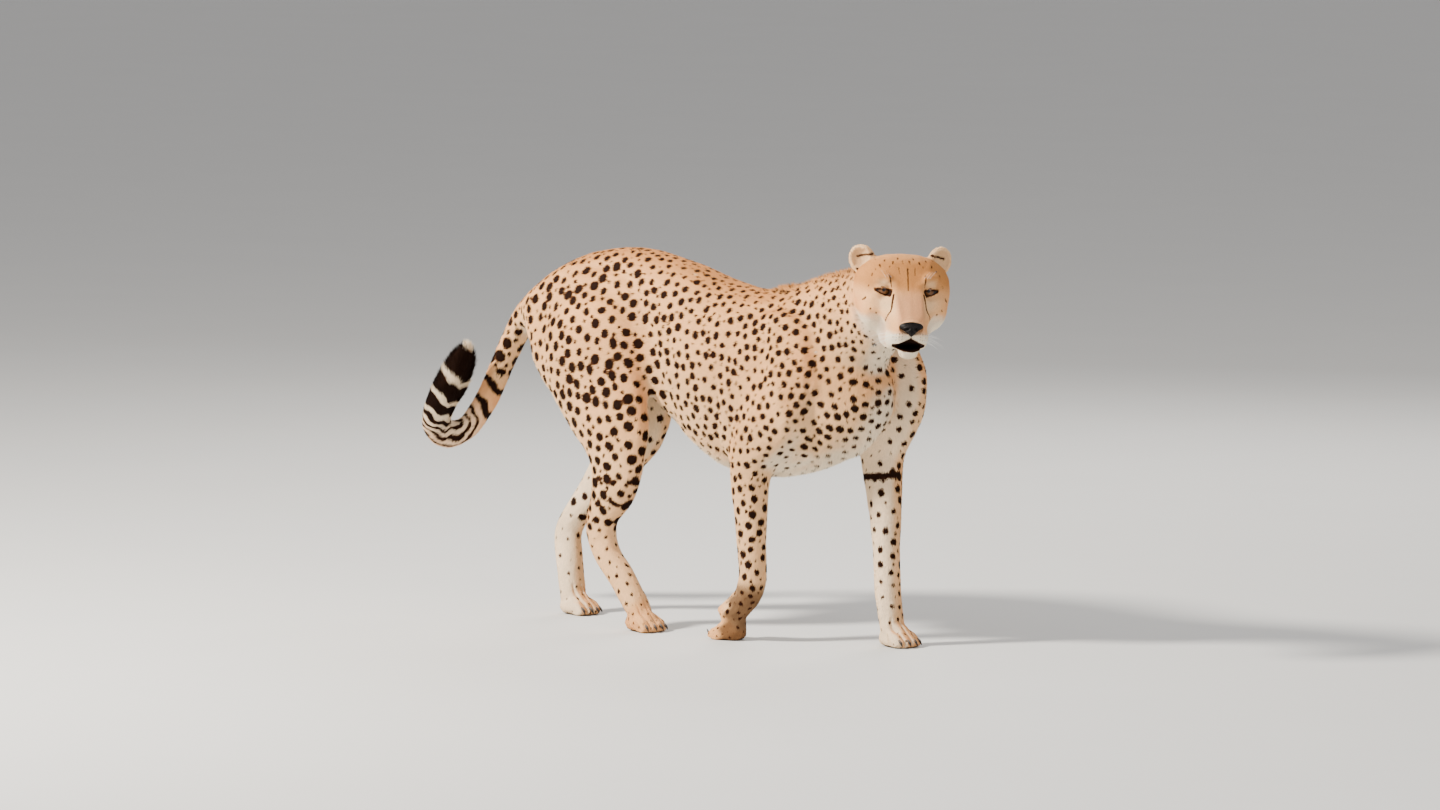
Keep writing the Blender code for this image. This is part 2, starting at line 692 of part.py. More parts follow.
def claw_clay(clay, frame):
    """One short curved claw in its toe's own axes."""
    rows = ((0.0170, 0, 0.0000), (0.0235, 0, -0.0015), (0.0275, 0, -0.0055), (0.0290, 0, -0.0100))
    sizes = (0.0034, 0.0030, 0.0020, 0.0007)
    limb(clay, [(*row, size * 0.8, size, size) for row, size in zip(rows, sizes)], frame, 1, 6)


def make_claws(model, tools):
    """Four claws on each paw, each in its own seat in a toe."""
    for leg, (frame, curl, hook) in PAWS.items():
        paw_node = model.objects["paw_" + leg]
        for k, toe in enumerate(toe_frames(frame, curl)):
            bed = toe @ Matrix.Rotation(math.radians(hook), 4, "Y")
            claw = mesh_object(f"claw_{leg}_{k + 1}", lambda clay: claw_clay(clay, bed), model)
            cut(paw_node, swollen(claw, tools, GAP * 1.5))


def paint(thing, colours):
    """Gives a node the material of what it is made of."""
    kind = thing.name.split("_")[0]
    thing.data.materials.clear()
    thing.data.materials.append(colours.get(kind, colours["coat"]))
    thing.data.shade_smooth()


def set_down(model):
    """Gives each node its own origin, and stands the model on z = 0 over the middle of its bounds."""
    corners = [vertex.co for thing in model.objects for vertex in thing.data.vertices]
    low = [min(corner[axis] for corner in corners) for axis in range(3)]
    high = [max(corner[axis] for corner in corners) for axis in range(3)]
    root = bpy.data.objects.new("cheetah", None)
    root.location = (-(low[0] + high[0]) / 2, -(low[1] + high[1]) / 2, -low[2])
    nodes = list(model.objects)
    model.objects.link(root)
    for thing in nodes:
        centre = middle(thing)
        thing.data.transform(Matrix.Translation(-centre))
        thing.location = centre
        thing.parent = root
    bpy.context.view_layer.update()


def main():
    """Models the cheetah."""
    clear_scene()
    model = collection("cheetah")
    tools = collection("cutters")
    make_body(model, tools)
    make_head(model, tools)
    make_claws(model, tools)
    colours = {
        "coat": material("coat", TAN, 0.85),
        "eye": material("eye", AMBER, 0.10),
        "nose": material("nose", BLACK, 0.45),
        "claw": material("claw", HORN, 0.40),
    }
    for thing in model.objects:
        paint(thing, colours)
    set_down(model)


main()
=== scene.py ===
"""Life-size cheetah: skin, spotted coat, face, eyes, nose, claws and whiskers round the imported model."""

import heapq
import json
import math

import bmesh
import bpy
import numpy as np
from bpy.props import FloatProperty, FloatVectorProperty, IntProperty, PointerProperty
from mathutils import Matrix, Vector
from mathutils.bvhtree import BVHTree
from mathutils.kdtree import KDTree


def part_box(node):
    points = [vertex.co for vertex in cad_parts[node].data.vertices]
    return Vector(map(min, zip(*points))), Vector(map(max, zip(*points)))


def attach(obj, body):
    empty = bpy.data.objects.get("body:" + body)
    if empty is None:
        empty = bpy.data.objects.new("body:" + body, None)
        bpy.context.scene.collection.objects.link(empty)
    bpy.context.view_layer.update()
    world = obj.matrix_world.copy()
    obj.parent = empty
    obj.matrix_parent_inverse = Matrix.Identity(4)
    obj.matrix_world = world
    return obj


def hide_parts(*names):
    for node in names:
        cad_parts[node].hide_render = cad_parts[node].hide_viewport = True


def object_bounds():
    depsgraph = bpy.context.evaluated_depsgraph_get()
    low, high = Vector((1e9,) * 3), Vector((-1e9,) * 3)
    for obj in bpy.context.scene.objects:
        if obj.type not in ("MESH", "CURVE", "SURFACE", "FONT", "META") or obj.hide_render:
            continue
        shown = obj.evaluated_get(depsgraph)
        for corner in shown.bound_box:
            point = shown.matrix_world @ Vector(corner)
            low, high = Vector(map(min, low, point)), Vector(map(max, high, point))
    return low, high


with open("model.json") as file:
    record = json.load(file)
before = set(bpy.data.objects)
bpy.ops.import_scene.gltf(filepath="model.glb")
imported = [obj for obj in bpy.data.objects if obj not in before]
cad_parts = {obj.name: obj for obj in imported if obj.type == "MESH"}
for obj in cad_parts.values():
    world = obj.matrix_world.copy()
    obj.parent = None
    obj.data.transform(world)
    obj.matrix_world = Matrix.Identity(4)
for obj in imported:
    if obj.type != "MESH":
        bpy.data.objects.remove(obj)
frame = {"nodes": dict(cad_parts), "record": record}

bl_info = {
    "name": "Cheetah",
    "version": (1, 0, 0),
    "blender": (4, 5, 0),
    "location": "View3D > Sidebar > Cheetah",
    "description": "Skin, spotted coat and face of a life-size cheetah",
    "category": "Object",
}

SLOT_OF = {row["node"]: row["material_slot"] for row in frame["record"]["subparts"]}
FLESH = sorted(name for name, slot in SLOT_OF.items() if slot == "coat")
CLAWS = sorted(name for name, slot in SLOT_OF.items() if slot == "claw")
PAWS = ("paw_fore_left", "paw_fore_right", "paw_hind_left", "paw_hind_right")
CAD_LOW, CAD_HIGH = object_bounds()
SPOT_TRIES = 26000  # places tried for each size of spot
SPOTS = []  # the spots of the coat, set with the skin

# Seeds of the random draws
THIN_SEED = 5
SPOT_SEED = 11
STRETCH_SEED = 12
TUFT_SEED = 20  # of the first piece of coat; each later one adds 10
WHISKER_SEED = 31

# Field and width of a value stored on a mesh, by its kind
FIELDS = {"FLOAT": ("value", 1), "FLOAT_VECTOR": ("vector", 3), "FLOAT_COLOR": ("color", 4)}

# Slope of the line from between the eyes to the nose
NOSE_DROP = math.atan2(0.0580, 0.0830)

# Coat of each kind of flesh: spacing of the spots, their radius, hair length, coat depth, and the
# hair's lift in degrees
COAT = {
    "chest": (0.0182, 0.0073, 0.0070, 0.0021, 12),
    "waist": (0.0188, 0.0077, 0.0070, 0.0021, 12),
    "rump": (0.0206, 0.0090, 0.0070, 0.0021, 12),
    "neck": (0.0152, 0.0056, 0.0070, 0.0026, 13),
    "head": (0.0110, 0.0019, 0.0036, 0.0008, 12),
    "ear": (0.0110, 0.0016, 0.0046, 0.0011, 17),
    "upper_arm": (0.0176, 0.0070, 0.0068, 0.0020, 12),
    "forearm": (0.0184, 0.0074, 0.0062, 0.0015, 11),
    "pastern": (0.0150, 0.0044, 0.0054, 0.0012, 11),
    "paw": (0.0135, 0.0024, 0.0040, 0.0008, 11),
    "thigh": (0.0218, 0.0096, 0.0070, 0.0020, 12),
    "shank": (0.0214, 0.0094, 0.0066, 0.0017, 12),
    "metatarsus": (0.0200, 0.0043, 0.0056, 0.0012, 11),
    "tail": (0.0252, 0.0124, 0.0085, 0.0030, 14),
}


def kind_of(node):
    """The row of COAT that a flesh node belongs to."""
    for kind in sorted(COAT, key=len, reverse=True):
        if node.startswith(kind):
            return kind
    raise KeyError(node)


# ---------------------------------------------------------------- settings


def colour(name, description, default):
    """A colour property."""
    return FloatVectorProperty(
        name=name, description=description, default=default, subtype="COLOR", min=0, max=1
    )


def length(name, description, default):
    """A length property."""
    return FloatProperty(
        name=name, description=description, default=default, unit="LENGTH", subtype="DISTANCE", min=0
    )


class CheetahSkin(bpy.types.PropertyGroup):
    """Fineness of the skin."""

    grain: length("Grain", "Cell of the skin before it is thinned", 0.0030)
    thinned: FloatProperty(
        name="Thinned", description="Share of the body's faces kept", default=0.22, min=0.05, max=1
    )
    firmness: IntProperty(name="Smoothing", description="Rounds of smoothing on the body", default=28)


class CheetahCoat(bpy.types.PropertyGroup):
    """Hair of the coat."""

    width: length("Tuft width", "Width of a tuft at its root", 0.0017)
    mane: length("Mane", "Hair along the nape and withers", 0.0150)
    belly: length("Belly", "Hair under the belly and behind the thighs", 0.0115)
    brush: length("Tail brush", "Hair at the tail's end", 0.0200)
    tan: colour("Tan", "Flanks and legs", (0.85, 0.445, 0.185))
    gold: colour("Gold", "Forehead, nape and back", (0.62, 0.265, 0.075))
    cream: colour("Cream", "Lower flanks and cheeks", (0.90, 0.605, 0.325))
    white: colour("White", "Belly, throat, chin and lips", (0.91, 0.775, 0.575))
    bridge: colour("Bridge", "Top of the muzzle", (0.74, 0.37, 0.175))
    brown: colour("Brown", "Rim of a spot", (0.062, 0.018, 0.006))
    black: colour("Black", "Heart of a spot, tear lines and lips", (0.013, 0.0042, 0.0016))


class CheetahFace(bpy.types.PropertyGroup):
    """Eyes, nose and whiskers."""

    # The iris colour is darker than the eye's own amber: painted shade of the brow over the eye.
    iris: colour("Iris", "Eye colour", (0.088, 0.032, 0.0075))
    nose: colour("Nose", "Nose leather", (0.0034, 0.0023, 0.0022))
    whisker: length("Whiskers", "Length of the longest whisker", 0.055)


class CheetahStage(bpy.types.PropertyGroup):
    """Camera, floor and light."""

    azimuth: FloatProperty(name="Azimuth", description="Camera's turn, degrees", default=42.0)
    elevation: FloatProperty(name="Elevation", description="Camera's height, degrees", default=5.5)
    distance: length("Distance", "Camera to the animal", 18.0)
    lens: FloatProperty(name="Lens", description="Focal length, mm", default=243.0)
    floor: colour("Floor", "Studio floor", (0.56, 0.55, 0.53))


# ---------------------------------------------------------------- node trees


class Wire:
    """A socket in a node tree. Arithmetic on it adds Math nodes."""

    def __init__(self, nodes, socket):
        self.nodes = nodes
        self.socket = socket

    def maths(self, operation, *values):
        settings = {"operation": operation}
        return self.nodes.add("ShaderNodeMath", settings, dict(enumerate(values)))

    def __add__(self, other):
        return self.maths("ADD", self, other)

    def __radd__(self, other):
        return self.maths("ADD", other, self)

    def __sub__(self, other):
        return self.maths("SUBTRACT", self, other)

    def __rsub__(self, other):
        return self.maths("SUBTRACT", other, self)

    def __mul__(self, other):
        return self.maths("MULTIPLY", self, other)

    def __rmul__(self, other):
        return self.maths("MULTIPLY", other, self)


class Nodes:
    """A node tree, with one way of adding a node to it."""

    def __init__(self, tree):
        self.tree = tree

    def add(self, kind, settings=None, values=None, out=0):
        """Adds a node: its settings first, then values or wires by socket name or place."""
        node = self.tree.nodes.new(kind)
        for name, value in (settings or {}).items():
            setattr(node, name, value)
        for key, value in (values or {}).items():
            socket = self.socket(node.inputs, key)
            if isinstance(value, Wire):
                self.tree.links.new(value.socket, socket)
            elif value is not None:
                socket.default_value = value
        return Wire(self, self.socket(node.outputs, out)) if len(node.outputs) else None

    @staticmethod
    def socket(sockets, key):
        """The live socket of that place or name."""
        if isinstance(key, int):
            return sockets[key]
        return next(socket for socket in sockets if socket.name == key and socket.enabled)

    def mix(self, factor, first, second):
        """Mixes two colours."""
        settings = {"data_type": "RGBA", "blend_type": "MIX"}
        values = {"Factor": factor, "A": first, "B": second}
        return self.add("ShaderNodeMix", settings, values, "Result")

    def ease(self, value, low, high, start=0.0, end=1.0):
        """Runs smoothly from start, at low, to end, at high."""
        settings = {"interpolation_type": "SMOOTHSTEP"}
        values = {"Value": value, "From Min": low, "From Max": high, "To Min": start, "To Max": end}
        return self.add("ShaderNodeMapRange", settings, values, "Result")

    def noise(self, scale, detail):
        """In a material, cloudy noise in the object's own space."""
        place = self.add("ShaderNodeTexCoord", None, None, "Object")
        values = {"Vector": place, "Scale": scale, "Detail": detail}
        return self.add("ShaderNodeTexNoise", None, values, "Fac")

    def read(self, name, out="Fac"):
        """In a material, a value stored on the mesh."""
        return self.add("ShaderNodeAttribute", {"attribute_name": name}, None, out)

    def named(self, name, kind="FLOAT"):
        """In geometry nodes, a value stored on the mesh."""
        settings = {"data_type": kind}
        return self.add("GeometryNodeInputNamedAttribute", settings, {"Name": name}, "Attribute")

    def stored(self, geometry, name, value, kind="FLOAT", domain="POINT"):
        """The geometry with a value stored on it."""
        settings = {"data_type": kind, "domain": domain}
        values = {"Geometry": geometry, "Name": name, "Value": value}
        return self.add("GeometryNodeStoreNamedAttribute", settings, values, "Geometry")

    def chance(self, low, high, seed):
        """A random value for each point."""
        values = {"Min": low, "Max": high, "Seed": seed}
        return self.add("FunctionNodeRandomValue", {"data_type": "FLOAT"}, values, "Value")

    def vector(self, operation, values):
        """Vector maths."""
        return self.add("ShaderNodeVectorMath", {"operation": operation}, values, "Vector")


def geometry_tree(name, inputs):
    """A geometry node tree whose further inputs have these kinds: its nodes, and each input's wire."""
    tree = bpy.data.node_groups.new(name, "GeometryNodeTree")
    tree.interface.new_socket(name="Geometry", in_out="INPUT", socket_type="NodeSocketGeometry")
    for label, kind in inputs.items():
        tree.interface.new_socket(name=label, in_out="INPUT", socket_type="NodeSocket" + kind)
    tree.interface.new_socket(name="Geometry", in_out="OUTPUT", socket_type="NodeSocketGeometry")
    nodes = Nodes(tree)
    entry = tree.nodes.new("NodeGroupInput")
    return nodes, {socket.name: Wire(nodes, socket) for socket in entry.outputs if socket.name}


def finish_tree(nodes, made, material):
    """Gives the tree's geometry its material and hands it out."""
    made = nodes.add("GeometryNodeSetMaterial", None, {"Geometry": made, "Material": material})
    leave = nodes.tree.nodes.new("NodeGroupOutput")
    nodes.tree.links.new(made.socket, leave.inputs[0])
    return nodes.tree


def new_material(name):
    """A material with an empty tree, and the means to fill it."""
    made = bpy.data.materials.new(name)
    made.use_nodes = True
    made.node_tree.nodes.clear()
    return made, Nodes(made.node_tree)


def finish_material(nodes, values):
    """Adds the shader and the output. Constants sit on the shader's own sockets."""
    shader = nodes.add("ShaderNodeBsdfPrincipled", None, values)
    nodes.add("ShaderNodeOutputMaterial", None, {"Surface": shader})


def rgba(value, times=1.0):
    """A colour, made this many times as bright, as four numbers."""
    return (*(min(1.0, times * part) for part in value), 1.0)


def coat_material(name, coat, hairs):
    """Spotted coat: ground colour and the distance to the nearest dark mark are stored on the mesh. Painted
    shade darkens the tufts towards their roots and the skin under them.
    """
    made, nodes = new_material(name)
    edge = nodes.read("mark")
    values = {"Roughness": 0.85, "Specular IOR Level": 0.08}
    if hairs:
        # Tufts are darker at the root than at the tip: painted shade deep in the coat. The stored shade
        # value is only a random tone for each tuft.
        tone = 0.84 + 0.18 * nodes.read("along") + 0.15 * (nodes.read("shade") - 0.5)
    else:
        grain = nodes.noise(420.0, 2.0)
        # The skin between the tufts is about as dark as their roots: the same painted shade, with a random
        # grain.
        tone = 0.70 + 0.26 * grain
        edge = edge + 0.0016 * (grain - 0.5)
        bump = {"Strength": 0.35, "Distance": 0.0012, "Height": grain}
        values["Normal"] = nodes.add("ShaderNodeBump", None, bump, "Normal")
    tone = tone * nodes.ease(nodes.noise(9.0, 3.0), 0.25, 0.75, 0.90, 1.08)
    ground = nodes.vector("SCALE", {0: nodes.read("ground", "Color"), "Scale": tone})
    rim = nodes.ease(edge, 0.0007, -0.0005)
    heart = nodes.ease(edge, 0.0002, -0.0032)
    dark = nodes.mix(heart, rgba(coat.brown), rgba(coat.black))
    values["Base Color"] = nodes.mix(rim, ground, dark)
    finish_material(nodes, values)
    return made


# ---------------------------------------------------------------- meshes


def middle(node):
    """Middle of a node's box."""
    low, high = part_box(node)
    return (low + high) / 2


def head_axes():
    """Matrix from the head's own axes to the row's: +X forward, +Y left, +Z up, 0 between the eyes."""
    left = middle("eye_left")
    right = middle("eye_right")
    origin = (left + right) / 2
    side = (left - right).normalized()
    reach = middle("nose") - origin
    reach = (reach - side * reach.dot(side)).normalized()
    over = reach.cross(side)
    forward = reach * math.cos(NOSE_DROP) + over * math.sin(NOSE_DROP)
    up = over * math.cos(NOSE_DROP) - reach * math.sin(NOSE_DROP)
    turn = Matrix((forward, side, up)).transposed()
    return Matrix.Translation(origin) @ turn.to_4x4()


HEAD = head_axes()
HEAD_FORWARD = np.array(HEAD.to_3x3().col[0])
EYE_RADIUS = (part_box("eye_left")[1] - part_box("eye_left")[0]).z / 2
EYE_AT = HEAD.inverted() @ middle("eye_left")
NOSE_AT = HEAD.inverted() @ middle("nose")
EAR_AT = HEAD.inverted() @ middle("ear_left")
GAZE = (-0.12, 0.08)  # where the eyes look: steps to the left and up for a step of 1 forward
RIDGE_Y = middle("waist").y


def paired(at, side):
    """A place on the head's left, or for side -1 its twin on the right, in the head's own axes."""
    return np.array((at.x, at.y * side, at.z))


def link(name, data):
    """A new object in the scene."""
    made = bpy.data.objects.new(name, data)
    bpy.context.scene.collection.objects.link(made)
    return made


def settle(thing):
    """Replaces the object's mesh with what its modifiers make of it."""
    bpy.context.view_layer.update()
    graph = bpy.context.evaluated_depsgraph_get()
    mesh = bpy.data.meshes.new_from_object(thing.evaluated_get(graph))
    thing.modifiers.clear()
    spent = thing.data
    thing.data = mesh
    bpy.data.meshes.remove(spent)


def grow(thing, tree, values):
    """Runs a geometry node tree on the object, with values by input name, and keeps what it makes."""
    modifier = thing.modifiers.new(tree.name, "NODES")
    modifier.node_group = tree
    for item in tree.interface.items_tree:
        if item.in_out == "INPUT" and item.name in values:
            modifier[item.identifier] = values[item.name]
    settle(thing)


def numbers(items, name, width=1, kind=np.float32):
    """A property of every item as an array."""
    found = np.empty(len(items) * width, kind)
    items.foreach_get(name, found)
    return found.reshape(-1, width) if width > 1 else found


def corners_of(mesh):
    """Places of the mesh's corners."""
    return numbers(mesh.vertices, "co", 3).astype(float)


def place_corners(mesh, places):
    """Moves the mesh's corners."""
    mesh.vertices.foreach_set("co", places.astype(np.float32).ravel())
    mesh.update()


def search_tree(mesh):
    """A tree for finding places on the mesh."""
    faces = [tuple(face.vertices) for face in mesh.polygons]
    return BVHTree.FromPolygons(corners_of(mesh).tolist(), faces)


def node_clay(name):
    """A CAD node's mesh with its corners merged, to be worked on."""
    clay = bmesh.new()
    clay.from_mesh(frame["nodes"][name].data)
    bmesh.ops.remove_doubles(clay, verts=clay.verts, dist=1e-5)
    return clay


def set_clay(name, clay):
    """Turns worked clay into a new mesh."""
    mesh = bpy.data.meshes.new(name)
    clay.to_mesh(mesh)
    clay.free()
    return mesh


def store(mesh, name, values, kind="FLOAT"):
    """Stores a value for each corner of the mesh."""
    made = mesh.attributes.new(name, kind, "POINT")
    made.data.foreach_set(FIELDS[kind][0], np.ascontiguousarray(values, np.float32).ravel())


def fetch(mesh, name):
    """A value stored for each corner of the mesh, as an array."""
    layer = mesh.attributes[name]
    return numbers(layer.data, *FIELDS[layer.data_type])


def weights(thing, name, values):
    """A vertex group with these weights, from 0 to 1."""
    group = thing.vertex_groups.new(name=name)
    levels = np.round(np.clip(values, 0, 1), 1)
    for level in np.unique(levels):
        group.add([int(i) for i in np.flatnonzero(levels == level)], float(level), "REPLACE")
    return group.name


def ease(values, low, high):
    """0 below low, 1 above high, and smooth between."""
    share = np.clip((np.asarray(values) - low) / (high - low), 0, 1)
    return share * share * (3 - 2 * share)


def bell(distance, width):
    """1 at no distance, falling off over the width."""
    return np.exp(-((distance / width) ** 2))


class Surface:
    """A mesh's corners, normals and edges as arrays."""

    def __init__(self, mesh):
        self.mesh = mesh
        self.place = corners_of(mesh)
        self.normal = numbers(mesh.vertex_normals, "vector", 3).astype(float)
        self.edges = numbers(mesh.edges, "vertices", 2, np.int32)
        self.degree = np.bincount(self.edges.ravel(), minlength=len(self.place)).clip(1)

    def smooth(self, values, rounds):
        """Evens values out over the surface."""
        first, second = self.edges.T
        flat = np.array(values, float).reshape(len(self.place), -1)
        for _ in range(rounds):
            for k in range(flat.shape[1]):
                row = flat[:, k]
                total = np.bincount(first, row[second], len(row))
                total += np.bincount(second, row[first], len(row))
                flat[:, k] = 0.5 * row + 0.5 * total / self.degree
        return flat.reshape(np.shape(values))

    def along(self, start):
        """Distance over the surface from the corner nearest to a place."""
        first, second = self.edges.T
        ends = np.concatenate((first, second))
        others = np.concatenate((second, first))
        order = np.argsort(ends, kind="stable")
        others = others[order]
        begins = np.searchsorted(ends[order], np.arange(len(self.place) + 1)).tolist()
        steps = np.linalg.norm(self.place[ends[order]] - self.place[others], axis=1).tolist()
        others = others.tolist()
        seed = int(np.argmin(np.linalg.norm(self.place - start, axis=1)))
        far = [math.inf] * len(self.place)
        far[seed] = 0.0
        heap = [(0.0, seed)]
        while heap:
            reach, corner = heapq.heappop(heap)
            if reach > far[corner]:
                continue
            for k in range(begins[corner], begins[corner + 1]):
                further = reach + steps[k]
                if further < far[others[k]]:
                    far[others[k]] = further
                    heapq.heappush(heap, (further, others[k]))
        return np.array(far)

    def slope(self, values):
        """Direction over the surface in which the values rise fastest."""
        first, second = self.edges.T
        step = self.place[second] - self.place[first]
        rise = (values[second] - values[first]) / np.maximum((step**2).sum(1), 1e-12)
        pull = step * rise[:, None]
        made = np.empty_like(self.place)
        for k in range(3):
            made[:, k] = np.bincount(first, pull[:, k], len(made))
            made[:, k] += np.bincount(second, pull[:, k], len(made))
        return self.flatten(made)

    def flatten(self, directions):
        """Unit directions lying in the surface."""
        lying = directions - self.normal * (directions * self.normal).sum(1)[:, None]
        return lying / np.maximum(np.linalg.norm(lying, axis=1), 1e-9)[:, None]


def in_head(places):
    """Places in the head's own axes."""
    back = np.array(HEAD.inverted())
    return places @ back[:3, :3].T + back[:3, 3]


def from_head(places):
    """Places given in the head's own axes, in the row's."""
    turned = np.array(HEAD)
    return places @ turned[:3, :3].T + turned[:3, 3]


def face_point(tree, y, z):
    """The skin's place behind (y, z) in the head's axes, as seen from in front, or None."""
    start = HEAD @ Vector((0.2, y, z))
    return tree.ray_cast(start, HEAD.to_3x3() @ Vector((-1, 0, 0)))[0]


def round_eye(local, side):
    """Places in the head's axes measured from an eye's middle, and which of them lie round the eye."""
    off = local - paired(EYE_AT, side)
    return off, (np.linalg.norm(off, axis=1) < 0.032) & (off[:, 0] > -0.002)


def starting(*starts):
    """Which of the flesh nodes have a name that starts so."""
    return np.array([name.startswith(starts) for name in FLESH])


def nearest_nodes(places):
    """For each place, the number in FLESH of the nearest flesh node."""
    corners = []
    faces = []
    owners = []
    for number, name in enumerate(FLESH):
        mesh = frame["nodes"][name].data
        mesh.calc_loop_triangles()
        start = len(corners)
        corners.extend(vertex.co.copy() for vertex in mesh.vertices)
        faces.extend([start + i for i in triangle.vertices] for triangle in mesh.loop_triangles)
        owners.extend([number] * len(mesh.loop_triangles))
    tree = BVHTree.FromPolygons(corners, faces)
    return np.array([owners[tree.find_nearest(place)[2]] for place in places.tolist()])


# ---------------------------------------------------------------- skin


def skin_clay(swell):
    """Copies of the flesh, eye and nose nodes in one mesh, swollen so that neighbours overlap."""
    made = bmesh.new()
    for name in [*FLESH, "eye_left", "eye_right", "nose"]:
        piece = node_clay(name)
        piece.normal_update()
        for vertex in piece.verts:
            vertex.co += vertex.normal * swell
        spare = set_clay("spare", piece)
        made.from_mesh(spare)
        bpy.data.meshes.remove(spare)
    return set_clay("skin", made)


def keep_largest_shell(thing):
    """Deletes every loose shell but the largest."""
    surface = Surface(thing.data)
    first, second = surface.edges.T
    label = np.arange(len(surface.place))
    while True:
        low = np.minimum(label[first], label[second])
        after = label.copy()
        np.minimum.at(after, first, low)
        np.minimum.at(after, second, low)
        after = after[after]
        if (after == label).all():
            break
        label = after
    largest = np.bincount(label).argmax()
    strangers = np.flatnonzero(label != largest)
    if len(strangers):
        clay = bmesh.new()
        clay.from_mesh(thing.data)
        clay.verts.ensure_lookup_table()
        bmesh.ops.delete(clay, geom=[clay.verts[i] for i in strangers], context="VERTS")
        clay.to_mesh(thing.data)
        clay.free()


def detail_share(places):
    """1 on the head and paws, whose detail is kept, and 0 on the body."""
    local = in_head(places)
    head = ease(local[:, 0], -0.150, -0.120) * (np.linalg.norm(local, axis=1) < 0.2)
    paws = np.zeros(len(places))
    for name in PAWS:
        low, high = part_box(name)
        centre = np.array((low + high) / 2)
        reach = np.array(high - low) / 2
        off = np.linalg.norm(np.maximum(np.abs(places - centre) - reach, 0), axis=1)
        paws = np.maximum(paws, 1 - ease(off, 0.004, 0.016))
    return np.maximum(head, paws)


def refine(thing, chosen):
    """Splits the edges whose two corners are chosen."""
    clay = bmesh.new()
    clay.from_mesh(thing.data)
    flags = chosen.tolist()
    edges = [edge for edge in clay.edges if flags[edge.verts[0].index] and flags[edge.verts[1].index]]
    bmesh.ops.subdivide_edges(clay, edges=edges, cuts=1, use_grid_fill=True)
    clay.to_mesh(thing.data)
    clay.free()


def carve_face(thing):
    """Moves the corners of the face into lids, eye pockets, brows, muzzle edges and lips."""
    surface = Surface(thing.data)
    place = in_head(surface.place)
    lid = EYE_RADIUS + 0.0016
    pocket = EYE_RADIUS - 0.0030
    for side in (-1, 1):
        off = place - paired(EYE_AT, side)
        reach = np.linalg.norm(off, axis=1)
        inside, rim = eye_opening(off, side)
        near = ease(reach, EYE_RADIUS * 1.9, EYE_RADIUS * 1.25) * (off[:, 0] > -0.004)
        wanted = np.where(inside > 0.5, pocket, lid)
        pull = near * np.maximum(inside, bell(rim, 0.0080))
        push = (wanted - reach) * pull
        place += off / np.maximum(reach, 1e-6)[:, None] * push[:, None]
    slim = ease(-place[:, 2], 0.038, 0.066) * ease(place[:, 0], 0.000, 0.032)
    place[:, 1] *= 1 - 0.13 * slim
    x, _, z = place.T
    y = np.abs(place[:, 1])
    front = ease(x, 0.002, 0.018)
    bridge = bell(y - 0.0225, 0.0070) * bell(z - bridge_line(x), 0.018) * front
    brow = bell(np.linalg.norm(place - np.array((-0.004, 0, 0.0215)), axis=1) - 0.040, 0.0075)
    brow *= bell(z - 0.0185, 0.0080) * bell(y - 0.038, 0.016)
    pads = bell(y - 0.024, 0.013) * bell(x - 0.060, 0.016) * bell(z + 0.078, 0.011)
    hollow = bell(y - 0.036, 0.010) * bell(z + 0.024, 0.014) * (x > -0.005)
    bone = bell(y - 0.064, 0.011) * bell(z + 0.016, 0.013) * (x > -0.030)
    crease = bell(x - 0.020, 0.0085) * ease(-z, 0.034, 0.056) * ease(y, 0.032, 0.042)
    raise_by = 0.0022 * bridge + 0.0046 * brow + 0.0026 * pads + 0.0022 * bone
    raise_by = raise_by - 0.0034 * hollow - 0.0044 * crease
    leather = np.hypot(y / 0.0225, (z - NOSE_AT.z + 0.0015) / 0.0125)
    sink = 0.0105 * ease(leather, 1.04, 0.76) * (x > 0.050)
    sink += 0.0110 * ease(mouth_distance(place), 0.0002, -0.0035) * (surface.normal @ HEAD_FORWARD > 0.1)
    moved = surface.normal * raise_by[:, None] - np.outer(sink, HEAD_FORWARD)
    place_corners(thing.data, from_head(place) + moved)


def bridge_line(x):
    """Height of the top of the muzzle, from the brow at x = 0 to the nose."""
    return NOSE_AT.z * np.clip(x / NOSE_AT.x, 0, 1) * 0.78 + 0.004


def eye_opening(off, side):
    """1 inside the open slit of an eye and 0 outside it, and the distance from the slit's edge."""
    half = 0.0152  # of the slit's width
    above = 0.0019  # height of the upper lid's arch
    below = 0.0049  # depth of the lower lid's
    across = off[:, 1] * side
    share = np.clip(across / half, -1, 1)
    slant = 0.0016 * share - 0.0010
    upper = slant + above * (1 - share**2)
    lower = slant - below * (1 - share**2) * (1 - 0.35 * share)
    centre = (upper + lower) / 2
    open_by = (upper - lower) / 2
    gap = np.abs(off[:, 2] - centre) - open_by
    beyond = np.maximum(np.abs(across) - half, 0)
    rim = np.where(beyond > 0, np.hypot(beyond, off[:, 2] - centre), gap)
    return (rim < 0).astype(float), rim


def smoothing(thing, name, rounds, share=None):
    """A smoothing modifier over the whole object, or over the corners by their share."""
    made = thing.modifiers.new(name, "SMOOTH")
    made.iterations = rounds
    if share is not None:
        made.vertex_group = weights(thing, "body", share)
    return made


def thin_evenly(thing, share):
    """Thins the body to even triangles: a fine roughness hides its flat parts, and is undone after."""
    place = corners_of(thing.data)
    detail = detail_share(place)
    smooth = search_tree(thing.data)
    roughness = np.random.default_rng(THIN_SEED).normal(0, 0.0007, place.shape)
    place_corners(thing.data, place + roughness * (1 - detail)[:, None])
    thin = thing.modifiers.new("Thin", "DECIMATE")
    thin.vertex_group = weights(thing, "body", 1 - detail)
    kept = float((detail > 0).mean())
    thin.ratio = kept + (1 - kept) * share
    settle(thing)
    rough = corners_of(thing.data)
    place = np.array([tuple(smooth.find_nearest(corner)[0]) for corner in rough.tolist()])
    place = place + (rough - place) * detail_share(rough)[:, None]
    place_corners(thing.data, place)
    thing.vertex_groups.clear()
    even = smoothing(thing, "Even", 2, 1 - detail_share(place))
    even.factor = 0.4
    settle(thing)


